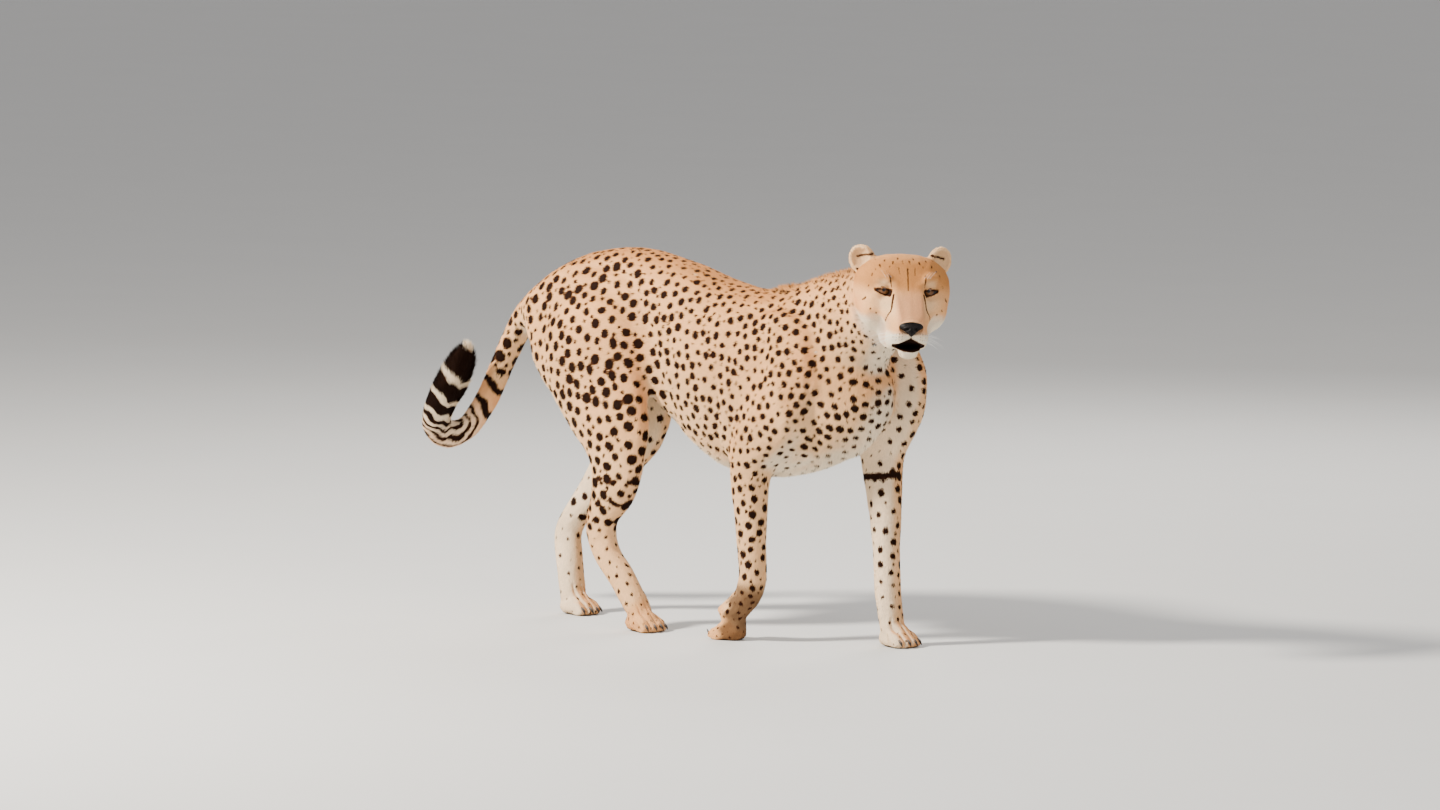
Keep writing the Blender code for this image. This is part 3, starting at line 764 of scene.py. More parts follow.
def make_skin(settings):
    """One closed skin over all the flesh, fine on the head and paws."""
    thing = link("skin", skin_clay(0.0004))
    remesh = thing.modifiers.new("Fuse", "REMESH")
    remesh.mode = "VOXEL"
    remesh.voxel_size = settings.grain
    settle(thing)
    keep_largest_shell(thing)
    smoothing(thing, "Even", 4)
    smoothing(thing, "Firm", settings.firmness, 1 - detail_share(corners_of(thing.data)))
    settle(thing)
    thin_evenly(thing, settings.thinned)
    place = in_head(corners_of(thing.data))
    refine(thing, (place[:, 0] > 0.0) & (np.linalg.norm(place, axis=1) < 0.15))
    place = in_head(corners_of(thing.data))
    eyes = np.zeros(len(place), bool)
    for side in (-1, 1):
        reach = np.linalg.norm(place - paired(EYE_AT, side), axis=1)
        eyes |= (reach < 0.0225) & (place[:, 0] > EYE_AT.x + 0.003)
    refine(thing, eyes)
    thing.vertex_groups.clear()
    carve_face(thing)
    carve_toes(thing)
    shape_muscles(thing)
    return thing


# ---------------------------------------------------------------- toes, eyes, nose, claws and whiskers


def carve_toes(thing):
    """Presses the grooves between the toes into the paws."""
    surface = Surface(thing.data)
    moved = np.zeros(len(surface.place))
    for paw in PAWS:
        low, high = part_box(paw)
        heel = np.array(((low.x + high.x) / 2, (low.y + high.y) / 2, low.z + 0.030))
        tips = [np.array(middle(name)) for name in CLAWS if name.startswith(paw.replace("paw", "claw"))]
        ahead = np.mean(tips, axis=0) - heel
        ahead[2] = 0
        ahead /= np.linalg.norm(ahead)
        across = np.array((-ahead[1], ahead[0], 0))
        gaps = []
        for tip in tips:
            off = surface.place - (tip - ahead * 0.046)
            run = np.clip(off @ ahead, 0, 0.06)
            gaps.append(np.abs((off - run[:, None] * ahead) @ across))
        first, second = np.sort(np.array(gaps), axis=0)[:2]
        reach = (surface.place - heel) @ ahead
        near = np.all(surface.place > np.array(low) - 0.006, axis=1)
        near &= np.all(surface.place < np.array(high) + 0.006, axis=1)
        facing = ease(surface.normal @ ahead + 0.9 * surface.normal[:, 2], 0.05, 0.55)
        groove = bell(second - first, 0.0034) * facing * ease(reach, -0.012, 0.016) * near
        moved += 0.0040 * groove
    place_corners(thing.data, surface.place - surface.normal * moved[:, None])


def shape_muscles(thing):
    """Presses in the edges of the shoulders and thighs and the fine wrinkles beside them."""
    surface = Surface(thing.data)
    owner = nearest_nodes(surface.place)
    place = surface.place
    x, y, z = place.T
    moved = np.zeros(len(place))
    trunk = np.array([name in ("chest", "waist", "rump", "neck") for name in FLESH], float)[owner]
    trunk = np.clip(surface.smooth(trunk, 9), 0, 1)
    for part, depth in (("upper_arm", 0.0042), ("thigh", 0.0046)):
        flags = starting(part)[owner]
        edge = 4 * surface.smooth(flags, 9) * trunk
        moved += depth * surface.smooth(edge, 2)
        if part == "upper_arm":
            near = surface.smooth(flags, 35)
            band = 4 * near * (1 - near) * ease(0.62 - z, 0.0, 0.10)
            moved += 0.0007 * band * np.sin(x * 360 + 2.2 * np.sin(z * 38) + y * 40)
    blade = np.zeros(len(place))
    for side in ("left", "right"):
        low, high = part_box("upper_arm_" + side)
        top = np.array((low.x * 0.45 + high.x * 0.55, 0, high.z - 0.03))
        foot = np.array((low.x * 0.20 + high.x * 0.80, 0, high.z - 0.20))
        run = foot - top
        share = np.clip(((place - top) * (1, 0, 1)) @ run / (run @ run), 0, 1)
        off = (place - top - share[:, None] * run) * (1, 0, 1)
        facing = y > RIDGE_Y if side == "left" else y < RIDGE_Y
        facing = facing * ease(np.abs(surface.normal[:, 1]), 0.2, 0.6)
        blade += bell(np.linalg.norm(off, axis=1), 0.017) * facing
    moved -= 0.0042 * blade
    local = in_head(place)
    calm = 1 - ease(local[:, 0], -0.20, -0.15) * (local[:, 2] > -0.2)
    place_corners(thing.data, place - surface.normal * (moved * calm)[:, None])


def ball(name, radius, segments, rings):
    """A fine closed sphere about 0, its pole along +X."""
    clay = bmesh.new()
    bmesh.ops.create_uvsphere(clay, u_segments=segments, v_segments=rings, radius=radius)
    bmesh.ops.rotate(clay, verts=clay.verts, matrix=Matrix.Rotation(math.pi / 2, 3, "Y"))
    return set_clay(name, clay)


def eye_material(face):
    """Amber iris darkened by painted shade of the brow, with fibres, a round pupil, a dark edge and a wet
    clear front.
    """
    made, nodes = new_material("eye")
    ring = nodes.read("ring")
    fibres = nodes.noise(900.0, 3.0)
    gold = rgba(face.iris, 1.7)
    fibre = rgba((0.20, 0.075, 0.012))
    edge = rgba((0.012, 0.007, 0.005))
    pupil = rgba((0.003, 0.003, 0.003))
    iris = nodes.mix(nodes.ease(ring + 0.0016 * (fibres - 0.5), 0.0030, 0.0080), gold, rgba(face.iris))
    iris = nodes.mix(nodes.ease(fibres, 0.42, 0.62, 0.0, 0.35), iris, fibre)
    iris = nodes.mix(nodes.ease(ring, 0.0088, 0.0099), iris, edge)
    iris = nodes.mix(nodes.ease(ring, 0.0034, 0.0030), iris, pupil)
    values = {"Base Color": iris, "Roughness": 0.5, "Coat Weight": 0.45, "Coat Roughness": 0.02}
    values["Specular IOR Level"] = 0.2
    finish_material(nodes, values)
    return made


def make_eye(side, material):
    """One eyeball, turned to look ahead, with the clear front standing a little proud."""
    name = "eyeball_left" if side > 0 else "eyeball_right"
    mesh = ball(name, EYE_RADIUS, 96, 64)
    place = corners_of(mesh)
    ring = np.hypot(place[:, 1], place[:, 2])
    front = place[:, 0] > 0
    place[:, 0] += np.where(front, 0.0009 * ease(ring, 0.0105, 0.0040), 0)
    store(mesh, "ring", np.where(front, ring, 0.02))
    gaze = Vector((1.0, -0.03 * side + GAZE[0], GAZE[1])).normalized()
    turn = (HEAD.to_3x3() @ gaze).to_track_quat("X", "Z").to_matrix()
    centre = HEAD @ Vector((EYE_AT.x, EYE_AT.y * side, EYE_AT.z))
    place_corners(mesh, place @ np.array(turn).T + np.array(centre))
    mesh.materials.append(material)
    mesh.shade_smooth()
    thing = link(name, mesh)
    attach(thing, "root")
    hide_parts("eye_left" if side > 0 else "eye_right")


def nose_material(face):
    """Dark damp leather with a fine pebble grain."""
    made, nodes = new_material("nose leather")
    place = nodes.add("ShaderNodeTexCoord", None, None, "Object")
    pebble = nodes.add("ShaderNodeTexVoronoi", None, {"Vector": place, "Scale": 780.0}, "Distance")
    cloud = nodes.noise(160.0, 3.0)
    base = nodes.mix(nodes.ease(cloud, 0.40, 0.75), rgba(face.nose), rgba(face.nose, 3.0))
    values = {"Strength": 0.5, "Distance": 0.0006, "Height": pebble}
    bump = nodes.add("ShaderNodeBump", None, values, "Normal")
    values = {"Base Color": base, "Roughness": nodes.ease(cloud, 0.3, 0.7, 0.42, 0.58), "Normal": bump}
    values["Specular IOR Level"] = 0.14
    finish_material(nodes, values)
    return made


def make_nose(face):
    """The nose leather: broad on top, drawn to a point below, with a middle groove and two nostrils."""
    mesh = ball("nose_leather", 1.0, 128, 96)
    half = 0.0245  # width, height and depth of the leather from its middle
    tall = 0.0118
    deep = 0.0120
    x, y, z = corners_of(mesh).T
    square = (np.abs(y) ** 3 + np.abs(z) ** 3) ** (1 / 3) / np.maximum(np.hypot(y, z), 1e-6)
    y = y / np.maximum(square, 0.7) ** 0.8
    z = z / np.maximum(square, 0.7) ** 0.8
    narrow = 1 - 0.66 * ease(-z, -0.25, 1.0)
    side = y * half * narrow
    height = z * tall - 0.0042 * ease(-z, 0.2, 1.0) * (1 - np.abs(y))
    depth = x * deep - 0.10 * np.abs(side) - 0.0030 * ease(np.abs(y), 0.5, 1.0) - 0.20 * height
    front = ease(x, 0.05, 0.5)
    groove = bell(side, 0.0011) * ease(-z, -0.35, 0.3)
    depth -= 0.0013 * groove * front
    across = np.abs(side) - 0.0098
    rise = height + 0.0022 + 0.30 * across
    hole = np.hypot(across / 0.0050, rise / 0.0026)
    slit = np.hypot((across - 0.0058) / 0.0050, (rise + 0.0012) / 0.0011)
    dent = np.maximum(ease(hole, 1.25, 0.35), 0.7 * ease(slit, 1.2, 0.4))
    depth -= 0.0048 * dent * front
    wing = bell(hole - 1.5, 0.45) * ease(-z, -0.7, 0.2)
    depth += 0.0010 * wing * front
    local = np.column_stack((depth + NOSE_AT.x - 0.0005, side, height + NOSE_AT.z - 0.0005))
    place_corners(mesh, from_head(local))
    mesh.materials.append(nose_material(face))
    mesh.shade_smooth()
    thing = link("nose_leather", mesh)
    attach(thing, "root")
    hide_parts("nose")


def claw_material():
    """Dark horn, paler towards the root."""
    made, nodes = new_material("horn")
    streak = nodes.noise(500.0, 3.0)
    tone = nodes.ease(nodes.read("tip") + 0.3 * (streak - 0.5), 0.1, 0.8)
    base = nodes.mix(tone, rgba((0.12, 0.085, 0.062)), rgba((0.016, 0.011, 0.009)))
    values = {"Base Color": base, "Roughness": nodes.ease(streak, 0.3, 0.7, 0.40, 0.52)}
    values["Specular IOR Level"] = 0.3
    finish_material(nodes, values)
    return made


def make_claws():
    """All the claws, as smooth copies of the nodes, a tenth larger to stand out of the fur."""
    whole = bmesh.new()
    for name in CLAWS:
        thing = link("spare", set_clay("spare", node_clay(name)))
        fine = thing.modifiers.new("Fine", "SUBSURF")
        fine.levels = 2
        settle(thing)
        place = corners_of(thing.data)
        centre = place.mean(0)
        place = centre + (place - centre) * 1.10
        out = centre - np.array(middle(name.replace("claw", "paw")[:-2]))
        out /= np.linalg.norm(out)
        run = (place - centre) @ out
        place_corners(thing.data, place)
        store(thing.data, "tip", (run - run.min()) / np.ptp(run))
        whole.from_mesh(thing.data)
        bpy.data.objects.remove(thing)
    mesh = set_clay("claws", whole)
    mesh.materials.append(claw_material())
    mesh.shade_smooth()
    thing = link("claws", mesh)
    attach(thing, "root")
    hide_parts(*CLAWS)


def whisker_material():
    """Pale stiff hair."""
    made, nodes = new_material("whisker")
    base = nodes.mix(nodes.noise(300.0, 2.0), rgba((0.86, 0.84, 0.79)), rgba((0.70, 0.67, 0.62)))
    finish_material(nodes, {"Base Color": base, "Roughness": 0.45})
    return made


def bristle_tree(material):
    """Geometry nodes that put a thin round hair, closed at both ends, along every line."""
    nodes, given = geometry_tree("bristles", {"Sides": "Int", "Taper": "Float"})
    line = nodes.add("GeometryNodeMeshToCurve", None, {"Mesh": given["Geometry"]})
    ring = nodes.add("GeometryNodeCurvePrimitiveCircle", None, {"Resolution": given["Sides"], "Radius": 1.0})
    along = nodes.add("GeometryNodeSplineParameter", None, None, "Factor")
    narrow = nodes.named("thick") * (1 - given["Taper"] * along)
    values = {"Curve": line, "Profile Curve": ring, "Scale": narrow, "Fill Caps": True}
    made = nodes.add("GeometryNodeCurveToMesh", None, values)
    made = nodes.add("GeometryNodeRealizeInstances", None, {"Geometry": made})
    return finish_tree(nodes, made, material)


def make_whiskers(face):
    """Three rows of whiskers on each side of the upper lip and a few over each eye."""
    tree = search_tree(bpy.data.objects["skin"].data)
    rng = np.random.default_rng(WHISKER_SEED)
    turn = np.array(HEAD.to_3x3())
    roots = []
    for side in (-1, 1):
        for row in range(3):
            for k in range(5):
                root = (0.0180 + 0.0046 * k, -0.0700 - 0.0052 * row - 0.0010 * k)
                reach = face.whisker * (0.55 + 0.09 * k) * rng.uniform(0.85, 1.0)
                roots.append((side, root, (-0.50 - 0.05 * k, 0.85, -0.20 - 0.10 * row), reach, 0.00036))
        for k in range(3):
            root = (0.0300 + 0.0050 * k, 0.0240)
            roots.append((side, root, (0.10, 0.55, 0.75), 0.016 + 0.002 * k, 0.00024))
    share = np.linspace(0, 1, 7)[:, None]
    lines = []
    for side, (y, z), way, reach, _ in roots:
        hit = face_point(tree, y * side, z)
        if hit is None:
            raise RuntimeError("no skin for a whisker")
        way = np.array(way) + rng.normal(0, 0.05, 3)
        way[1] *= side
        way = turn @ way / np.linalg.norm(way)
        sag = 0.010 * (reach / 0.055) ** 2
        lines.append(np.array(hit) + way * reach * share - np.array((0, 0, sag)) * share**2)
    count = len(share)
    steps = [(k, k + 1) for k in range(count * len(lines) - 1) if (k + 1) % count]
    mesh = bpy.data.meshes.new("whiskers")
    mesh.from_pydata(np.concatenate(lines).tolist(), steps, [])
    store(mesh, "thick", np.repeat([root[-1] for root in roots], count))
    thing = link("whiskers", mesh)
    grow(thing, bristle_tree(whisker_material()), {"Sides": 5, "Taper": 0.9})
    thing.data.shade_smooth()
    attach(thing, "root")


# ---------------------------------------------------------------- markings and lie of the coat


class Region:
    """Which flesh each corner of the skin belongs to, and the coat values that follow from it."""

    def __init__(self, surface):
        self.surface = surface
        self.owner = nearest_nodes(surface.place)
        table = np.array([COAT[kind_of(name)] for name in FLESH])[self.owner]
        self.spacing, self.radius, self.hair, self.depth, self.lift = surface.smooth(table, 14).T
        self.local = in_head(surface.place)

    def share(self, *starts):
        """1 on the nodes whose names start so, 0 elsewhere, with a soft border."""
        return self.surface.smooth(self.exact(*starts), 10)

    def exact(self, *starts):
        """True on the nodes whose names start so."""
        return starting(*starts)[self.owner]


def inner_side(region):
    """1 where a leg's skin faces the other legs."""
    normal = region.surface.normal[:, 1]
    left = np.array([name.endswith("left") for name in FLESH])[region.owner]
    legs = region.share("upper_arm", "forearm", "pastern", "paw", "thigh", "shank", "metatarsus")
    facing = np.where(left, -normal, normal)
    return legs * ease(facing, 0.15, 0.75)


def scatter_spots(region, bare, seed):
    """Places of the spots: evenly spread over the skin, large ones first and small ones in the gaps."""
    rng = np.random.default_rng(seed)
    surface = region.surface
    surface.mesh.calc_loop_triangles()
    corners = numbers(surface.mesh.loop_triangles, "vertices", 3, np.int32)
    sides = surface.place[corners]
    area = np.linalg.norm(np.cross(sides[:, 1] - sides[:, 0], sides[:, 2] - sides[:, 0]), axis=1)
    area *= 1 - bare[corners[:, 0]]
    picks = rng.choice(len(corners), SPOT_TRIES, p=area / area.sum())
    mix = rng.dirichlet((1, 1, 1), SPOT_TRIES)
    places = (sides[picks] * mix[:, :, None]).sum(1)
    first = corners[picks, 0]
    spacing = region.spacing[first]
    radius = region.radius[first]
    sizes = rng.uniform(0.78, 1.16, SPOT_TRIES)
    cell = float(region.spacing.max())
    grid = {}
    spots = []
    for small in (False, True):
        for k in range(SPOT_TRIES):
            place = places[k]
            gap = spacing[k] * (0.76 if small else 1.0)
            size = radius[k] * (0.46 if small else 1.0) * sizes[k]
            key = tuple((place // cell).astype(int))
            near = (
                other
                for dx in (-1, 0, 1)
                for dy in (-1, 0, 1)
                for dz in (-1, 0, 1)
                for other in grid.get((key[0] + dx, key[1] + dy, key[2] + dz), ())
            )
            if all(math.dist(place, spots[other][0]) > gap for other in near):
                grid.setdefault(key, []).append(len(spots))
                spots.append((place.tolist(), size, int(first[k])))
    return spots


def shape_spots(region, spots, lie, seed):
    """Centres, sizes, long axes and stretch of the spots."""
    rng = np.random.default_rng(seed)
    centre = np.array([spot[0] for spot in spots])
    size = np.array([spot[1] for spot in spots])
    home = np.array([spot[2] for spot in spots])
    stretch = rng.uniform(0.84, 1.12, len(spots))
    turn = rng.normal(0, 0.35, len(spots))
    normal = region.surface.normal[home]
    across = np.cross(normal, lie[home])
    axis = lie[home] * np.cos(turn)[:, None] + across * np.sin(turn)[:, None]
    return centre, size, axis, stretch


def spot_distance(places, spots):
    """Distance from each place to the edge of the nearest spot, below 0 inside it."""
    centre, size, axis, stretch = spots
    tree = KDTree(len(centre))
    for number, spot in enumerate(centre.tolist()):
        tree.insert(spot, number)
    tree.balance()
    found = np.array([[hit[1] for hit in tree.find_n(place, 3)] for place in places.tolist()])
    best = np.full(len(found), 1.0)
    for k in range(3):
        spot = found[:, k]
        off = places - centre[spot]
        along = (off * axis[spot]).sum(1)
        rest = np.sqrt(np.maximum((off**2).sum(1) - along**2, 0))
        reach = np.hypot(along / stretch[spot], rest * np.sqrt(stretch[spot]))
        best = np.minimum(best, reach - size[spot])
    return best


def trace(tree, points, side=1):
    """Points on the head's skin in front of a line of points (y, z) in the head's axes, 2 mm apart."""
    made = []
    for (y0, z0), (y1, z1) in zip(points, points[1:]):
        steps = max(2, int(math.hypot(y1 - y0, z1 - z0) / 0.002))
        for k in range(steps + 1):
            hit = face_point(tree, (y0 + (y1 - y0) * k / steps) * side, z0 + (z1 - z0) * k / steps)
            if hit is not None:
                made.append(hit)
    return np.array(made)


def line_distance(surface, chosen, line, start_width, end_width):
    """Distance from the chosen corners to a traced line's edge; its half width runs from start to end."""
    made = np.full(len(surface.place), 1.0)
    widths = np.linspace(start_width, end_width, len(line))
    places = surface.place[chosen]
    best = np.full(len(places), 1.0)
    for point, width in zip(line, widths):
        best = np.minimum(best, np.linalg.norm(places - point, axis=1) - width)
    made[chosen] = best
    return made


# From the eye's inner corner to the lip: (y, z)
TEAR_LINE = (
    (0.0285, -0.0045),
    (0.0302, -0.0130),
    (0.0315, -0.0210),
    (0.0322, -0.0270),
    (0.0345, -0.0335),
    (0.0382, -0.0395),
    (0.0405, -0.0450),
    (0.0412, -0.0520),
)
# Dark strokes on the brow and cheek, and last a painted shadow across each ear: (y, z) from, (y, z) to, half
# widths, on both sides
STROKES = (
    (((0.0330, 0.0290), (0.0310, 0.0080)), 0.0017, 0.0010),
    (((0.0150, 0.0420), (0.0140, 0.0300)), 0.0012, 0.0008),
    (((0.0740, -0.0150), (0.0780, -0.0200)), 0.0028, 0.0018),
    (((0.0480, 0.0440), (0.0475, 0.0400)), 0.0020, 0.0014),
    (((0.0240, 0.0500), (0.0250, 0.0470)), 0.0022, 0.0016),
    (((0.0380, 0.0520), (0.0385, 0.0500)), 0.0018, 0.0012),
    (((0.0620, 0.0280), (0.0630, 0.0250)), 0.0016, 0.0012),
    (((0.0660, -0.0330), (0.0670, -0.0350)), 0.0016, 0.0012),
    (((0.0560, -0.0400), (0.0570, -0.0420)), 0.0013, 0.0010),
    (((0.0060, 0.0520), (0.0065, 0.0480)), 0.0018, 0.0012),
    (((0.0140, 0.0560), (0.0145, 0.0535)), 0.0017, 0.0012),
    (((0.0310, 0.0430), (0.0315, 0.0410)), 0.0015, 0.0010),
    (((0.0560, 0.0360), (0.0565, 0.0340)), 0.0017, 0.0012),
    (((0.0520, 0.0520), (0.0530, 0.0500)), 0.0018, 0.0012),
    (((0.0680, 0.0080), (0.0690, 0.0050)), 0.0015, 0.0010),
    # Painted shadow of the ear's inner ridge, drawn across each ear
    (((0.0430, 0.0620), (0.0800, 0.0510)), 0.0026, 0.0022),
)
# Strokes in the middle of the face: down the forehead, and from the nose to the lip
MIDDLE_STROKES = (
    (((0.0010, 0.0400), (-0.0010, 0.0050)), 0.0017, 0.0010),
    (((0.0, NOSE_AT.z - 0.010), (0.0, NOSE_AT.z - 0.021)), 0.0013, 0.0010),
)
MARK_REACH = 0.02  # farthest distance to a mark that is stored


def face_marks(region):
    """Distance to the dark marks of the face: eye rims with painted shade under the brow, tear lines,
    strokes with a painted shadow across each ear, black lip edges with painted shade in the open mouth, and
    whisker rows.
    """
    surface = region.surface
    local = region.local
    best = np.full(len(local), 1.0)
    lines = [(*stroke, 1) for stroke in MIDDLE_STROKES]
    for side in (-1, 1):
        off, close = round_eye(local, side)
        rim = eye_opening(off, side)[1]
        # Black lid rims, wider at the inner corner. The extra width on top is painted shade under the brow.
        lined = 0.0030 + 0.0014 * ease(-off[:, 1] * side, 0.004, 0.014) + 0.0012 * ease(off[:, 2], 0, 0.004)
        best = np.where(close, np.minimum(best, rim - lined), best)
        lines.append((TEAR_LINE, 0.0027, 0.0018, side))
        lines.extend((*stroke, side) for stroke in STROKES)
        for row in range(3):
            for k in range(4):
                y = 0.0170 + 0.0050 * k
                z = -0.0690 - 0.0055 * row - 0.0012 * k
                lines.append((((y, z), (y, z - 0.0004)), 0.0008, 0.0008, side))
    front = (local[:, 0] > -0.105) & (np.linalg.norm(local, axis=1) < 0.17) & region.exact("head", "ear")
    tree = search_tree(surface.mesh)
    for points, start, end, side in lines:
        line = trace(tree, points, side)
        best = np.minimum(best, line_distance(surface, front, line, start, end))
    return np.minimum(best, mouth_distance(local))


def mouth_distance(local):
    """Distance to the black lip edges and the dark of the open mouth between them, which is painted shade,
    in the head's axes: an arched upper lip, a level lower one.
    """
    share = np.clip(np.abs(local[:, 1]) / 0.0300, 0, 1)
    upper = -0.0768 - 0.0145 * share**0.9
    lower = -0.1035 + 0.0070 * share**2
    gap = np.abs(local[:, 2] - (upper + lower) / 2) - (upper - lower) / 2
    gap = np.maximum(gap, np.abs(local[:, 1]) - 0.0300)
    return np.where(local[:, 0] > 0.020, gap, MARK_REACH)


def ear_marks(region):
    """Distance to the dark patch behind each ear and the dark line along its base."""
    best = np.full(len(region.local), 1.0)
    for side in (-1, 1):
        off = region.local - paired(EAR_AT, side)
        near = np.linalg.norm(off, axis=1) < 0.05
        away = (off - np.array((-0.016, -0.002 * side, -0.010))) / np.array((1.0, 1.25, 0.95))
        behind = np.linalg.norm(away, axis=1) - 0.0185
        base = np.hypot(off[:, 2] + 0.0170 - 0.10 * np.abs(off[:, 1]), off[:, 0] - 0.006) - 0.0030
        base = np.maximum(base, np.abs(off[:, 1]) - 0.020)
        behind = behind + 0.03 * ease(region.surface.normal @ HEAD_FORWARD, -0.25, 0.10)
        best = np.where(near, np.minimum(best, np.minimum(behind, base)), best)
    return best


# Dark rings of the tail, from its tip: start and end of each along the tail
TAIL_RINGS = (
    (0.018, 0.084),
    (0.099, 0.140),
    (0.154, 0.183),
    (0.196, 0.208),
    (0.218, 0.228),
    (0.238, 0.247),
    (0.258, 0.268),
    (0.284, 0.302),
    (0.332, 0.349),
)


def ring_distance(region, travel):
    """Distance to the edge of the nearest dark ring of the tail."""
    tail = region.exact("tail")
    place = region.surface.place
    wave = 0.0035 * np.sin(place[:, 1] * 190) + 0.0030 * np.sin(place[:, 2] * 150 + 2)
    run = travel + wave
    best = np.full(len(run), 1.0)
    for start, end in TAIL_RINGS:
        best = np.minimum(best, np.maximum(start - run, run - end))
    return np.where(tail, best, 1.0)


def leg_bars(region):
    """Distance to the dark bars inside the left elbow and round the right hock."""
    place = region.surface.place
    best = np.full(len(place), 1.0)
    low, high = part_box("forearm_left")
    level = high.z + 0.022
    bar = np.abs(place[:, 2] - level - 0.10 * (place[:, 0] - (low.x + high.x) / 2)) - 0.0065
    inner = region.exact("upper_arm_left", "forearm_left") & (region.surface.normal[:, 1] < 0.25)
    best = np.where(inner, np.minimum(best, bar), best)
    low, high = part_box("shank_right")
    for share, half in ((0.62, 0.0060), (0.40, 0.0070), (0.20, 0.0055)):
        level = low.z + (high.z - low.z) * share
        wave = 0.004 * np.sin(place[:, 0] * 120 + share * 9)
        bar = np.abs(place[:, 2] - level + wave) - half
        broken = 1 + 0.9 * np.sin(place[:, 0] * 170 + share * 23)
        bar = bar + 0.0034 * broken * ease(-region.surface.normal[:, 1], 0.35, 0.9)
        best = np.where(region.exact("shank_right"), np.minimum(best, bar), best)
    return best


# Colours of the back's ridge and the hair along the nape, and grey painted shade on the sides of the lower
# jaw
RIDGE = (0.42, 0.185, 0.065)
CREST = (0.34, 0.155, 0.06)
JAW_SHADE = (0.60, 0.53, 0.45)


def ground_colour(region, coat, belly, inner, travel):
    """The coat's colour between its marks, with painted shade on the jaw's sides and on the bent forepaw:
    layers of colour, each laid over the ones before it.
    """
    normal = region.surface.normal
    up = normal[:, 2]
    place = region.surface.place
    x, y, z = region.local.T
    wide = np.abs(y)
    trunk = region.share("chest", "waist", "rump", "neck", "thigh", "upper_arm", "tail_root")
    legs = region.share("forearm", "pastern", "shank", "metatarsus")
    face = region.share("head", "ear") * ease(x, -0.16, -0.08)
    golden = face * ease(z, -0.012, 0.014) * (1 - 0.6 * ease(z, 0.045, 0.062))
    above = bell(np.hypot(wide - 0.043, (z - 0.0130) * 1.6), 0.0120) * ease(x, -0.03, -0.01)
    below = bell(np.hypot((wide - 0.040) * 0.9, z + 0.0240), 0.0165) * ease(x, -0.03, -0.01)
    cheek = ease(-z, 0.038, 0.064) * ease(wide, 0.030, 0.050) * face
    # Grey on the sides of the lower jaw behind the muzzle: painted shade
    jaw_shade = ease(-z, 0.040, 0.060) * ease(0.030 - x, 0.0, 0.012) * face
    chin = ease(-z, 0.064, 0.076) * ease(x, 0.018, 0.036) * face
    bridge = ease(x, 0.0, 0.016) * ease(0.030 - wide, 0.0, 0.008) * (1 - chin) * face
    bridge = bridge * ease(0.006 - z, 0.0, 0.020)
    under = face * ease(-up, 0.2, 0.7) * ease(-z, 0.03, 0.06)
    front = region.share("neck", "chest")
    crest = front * bell(place[:, 1] - nape_line(place), 0.030)
    crest = crest * ease(up, 0.30, 0.80) * ease(place[:, 0], 0.22, 0.38)
    throat = front * ease(normal @ np.array((0.86, 0.0, -0.50)), 0.62, 0.95)
    throat = throat * ease(place[:, 0], 0.30, 0.40)
    # Brown over the front of the bent right forepaw: partly its own darker fur, partly painted shade on the
    # side turned down and away from the light
    low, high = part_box("paw_fore_right")
    ripple = 0.006 * np.sin(place[:, 2] * 230 + place[:, 1] * 90)
    knuckle = low.x + 0.032 + 0.45 * (place[:, 2] - 0.02)
    paw_dark_and_shade = region.share("pastern_fore_right", "paw_fore_right")
    paw_dark_and_shade = paw_dark_and_shade * ease(place[:, 0] + ripple - knuckle, -0.004, 0.014)
    paw_dark_and_shade = paw_dark_and_shade * ease(high.z + 0.050 - place[:, 2], 0.0, 0.020)
    soles = ease(0.006 - place[:, 2], 0.0, 0.003) * ease(-up, 0.5, 0.9)
    layers = (
        (coat.gold, 0.85 * trunk * ease(up, 0.22, 0.92)),
        (RIDGE, 0.40 * trunk * ease(up, 0.55, 0.96)),
        (coat.cream, 0.75 * trunk * ease(-up, -0.25, 0.45)),
        (coat.cream, 0.60 * legs),
        (coat.white, belly),
        (coat.cream, 0.80 * inner),
        (coat.white, 0.62 * inner),
        (coat.white, region.share("tail") * ease(0.34 - travel, 0.0, 0.16)),
        (coat.tan, face),
        (coat.gold, 0.95 * golden),
        (coat.cream, 0.75 * above * face),
        (coat.cream, 0.85 * below * face),
        (coat.white, 0.9 * cheek),
        # Painted shade: grey on the sides of the lower jaw
        (JAW_SHADE, 0.45 * jaw_shade),
        (coat.bridge, 0.9 * bridge),
        (coat.white, chin),
        (coat.white, under),
        (coat.cream, 0.9 * region.share("ear")),
        (CREST, 0.55 * crest),
        (coat.white, 0.85 * throat),
        # Bent forepaw's front: its own darker fur and painted shade
        (coat.brown, 0.80 * paw_dark_and_shade),
        (coat.black, 0.85 * soles),
    )
    made = np.tile(np.array(coat.tan), (len(place), 1))
    for tint, share in layers:
        made = made + (np.array(tint) - made) * np.clip(share, 0, 1)[:, None]
    return made


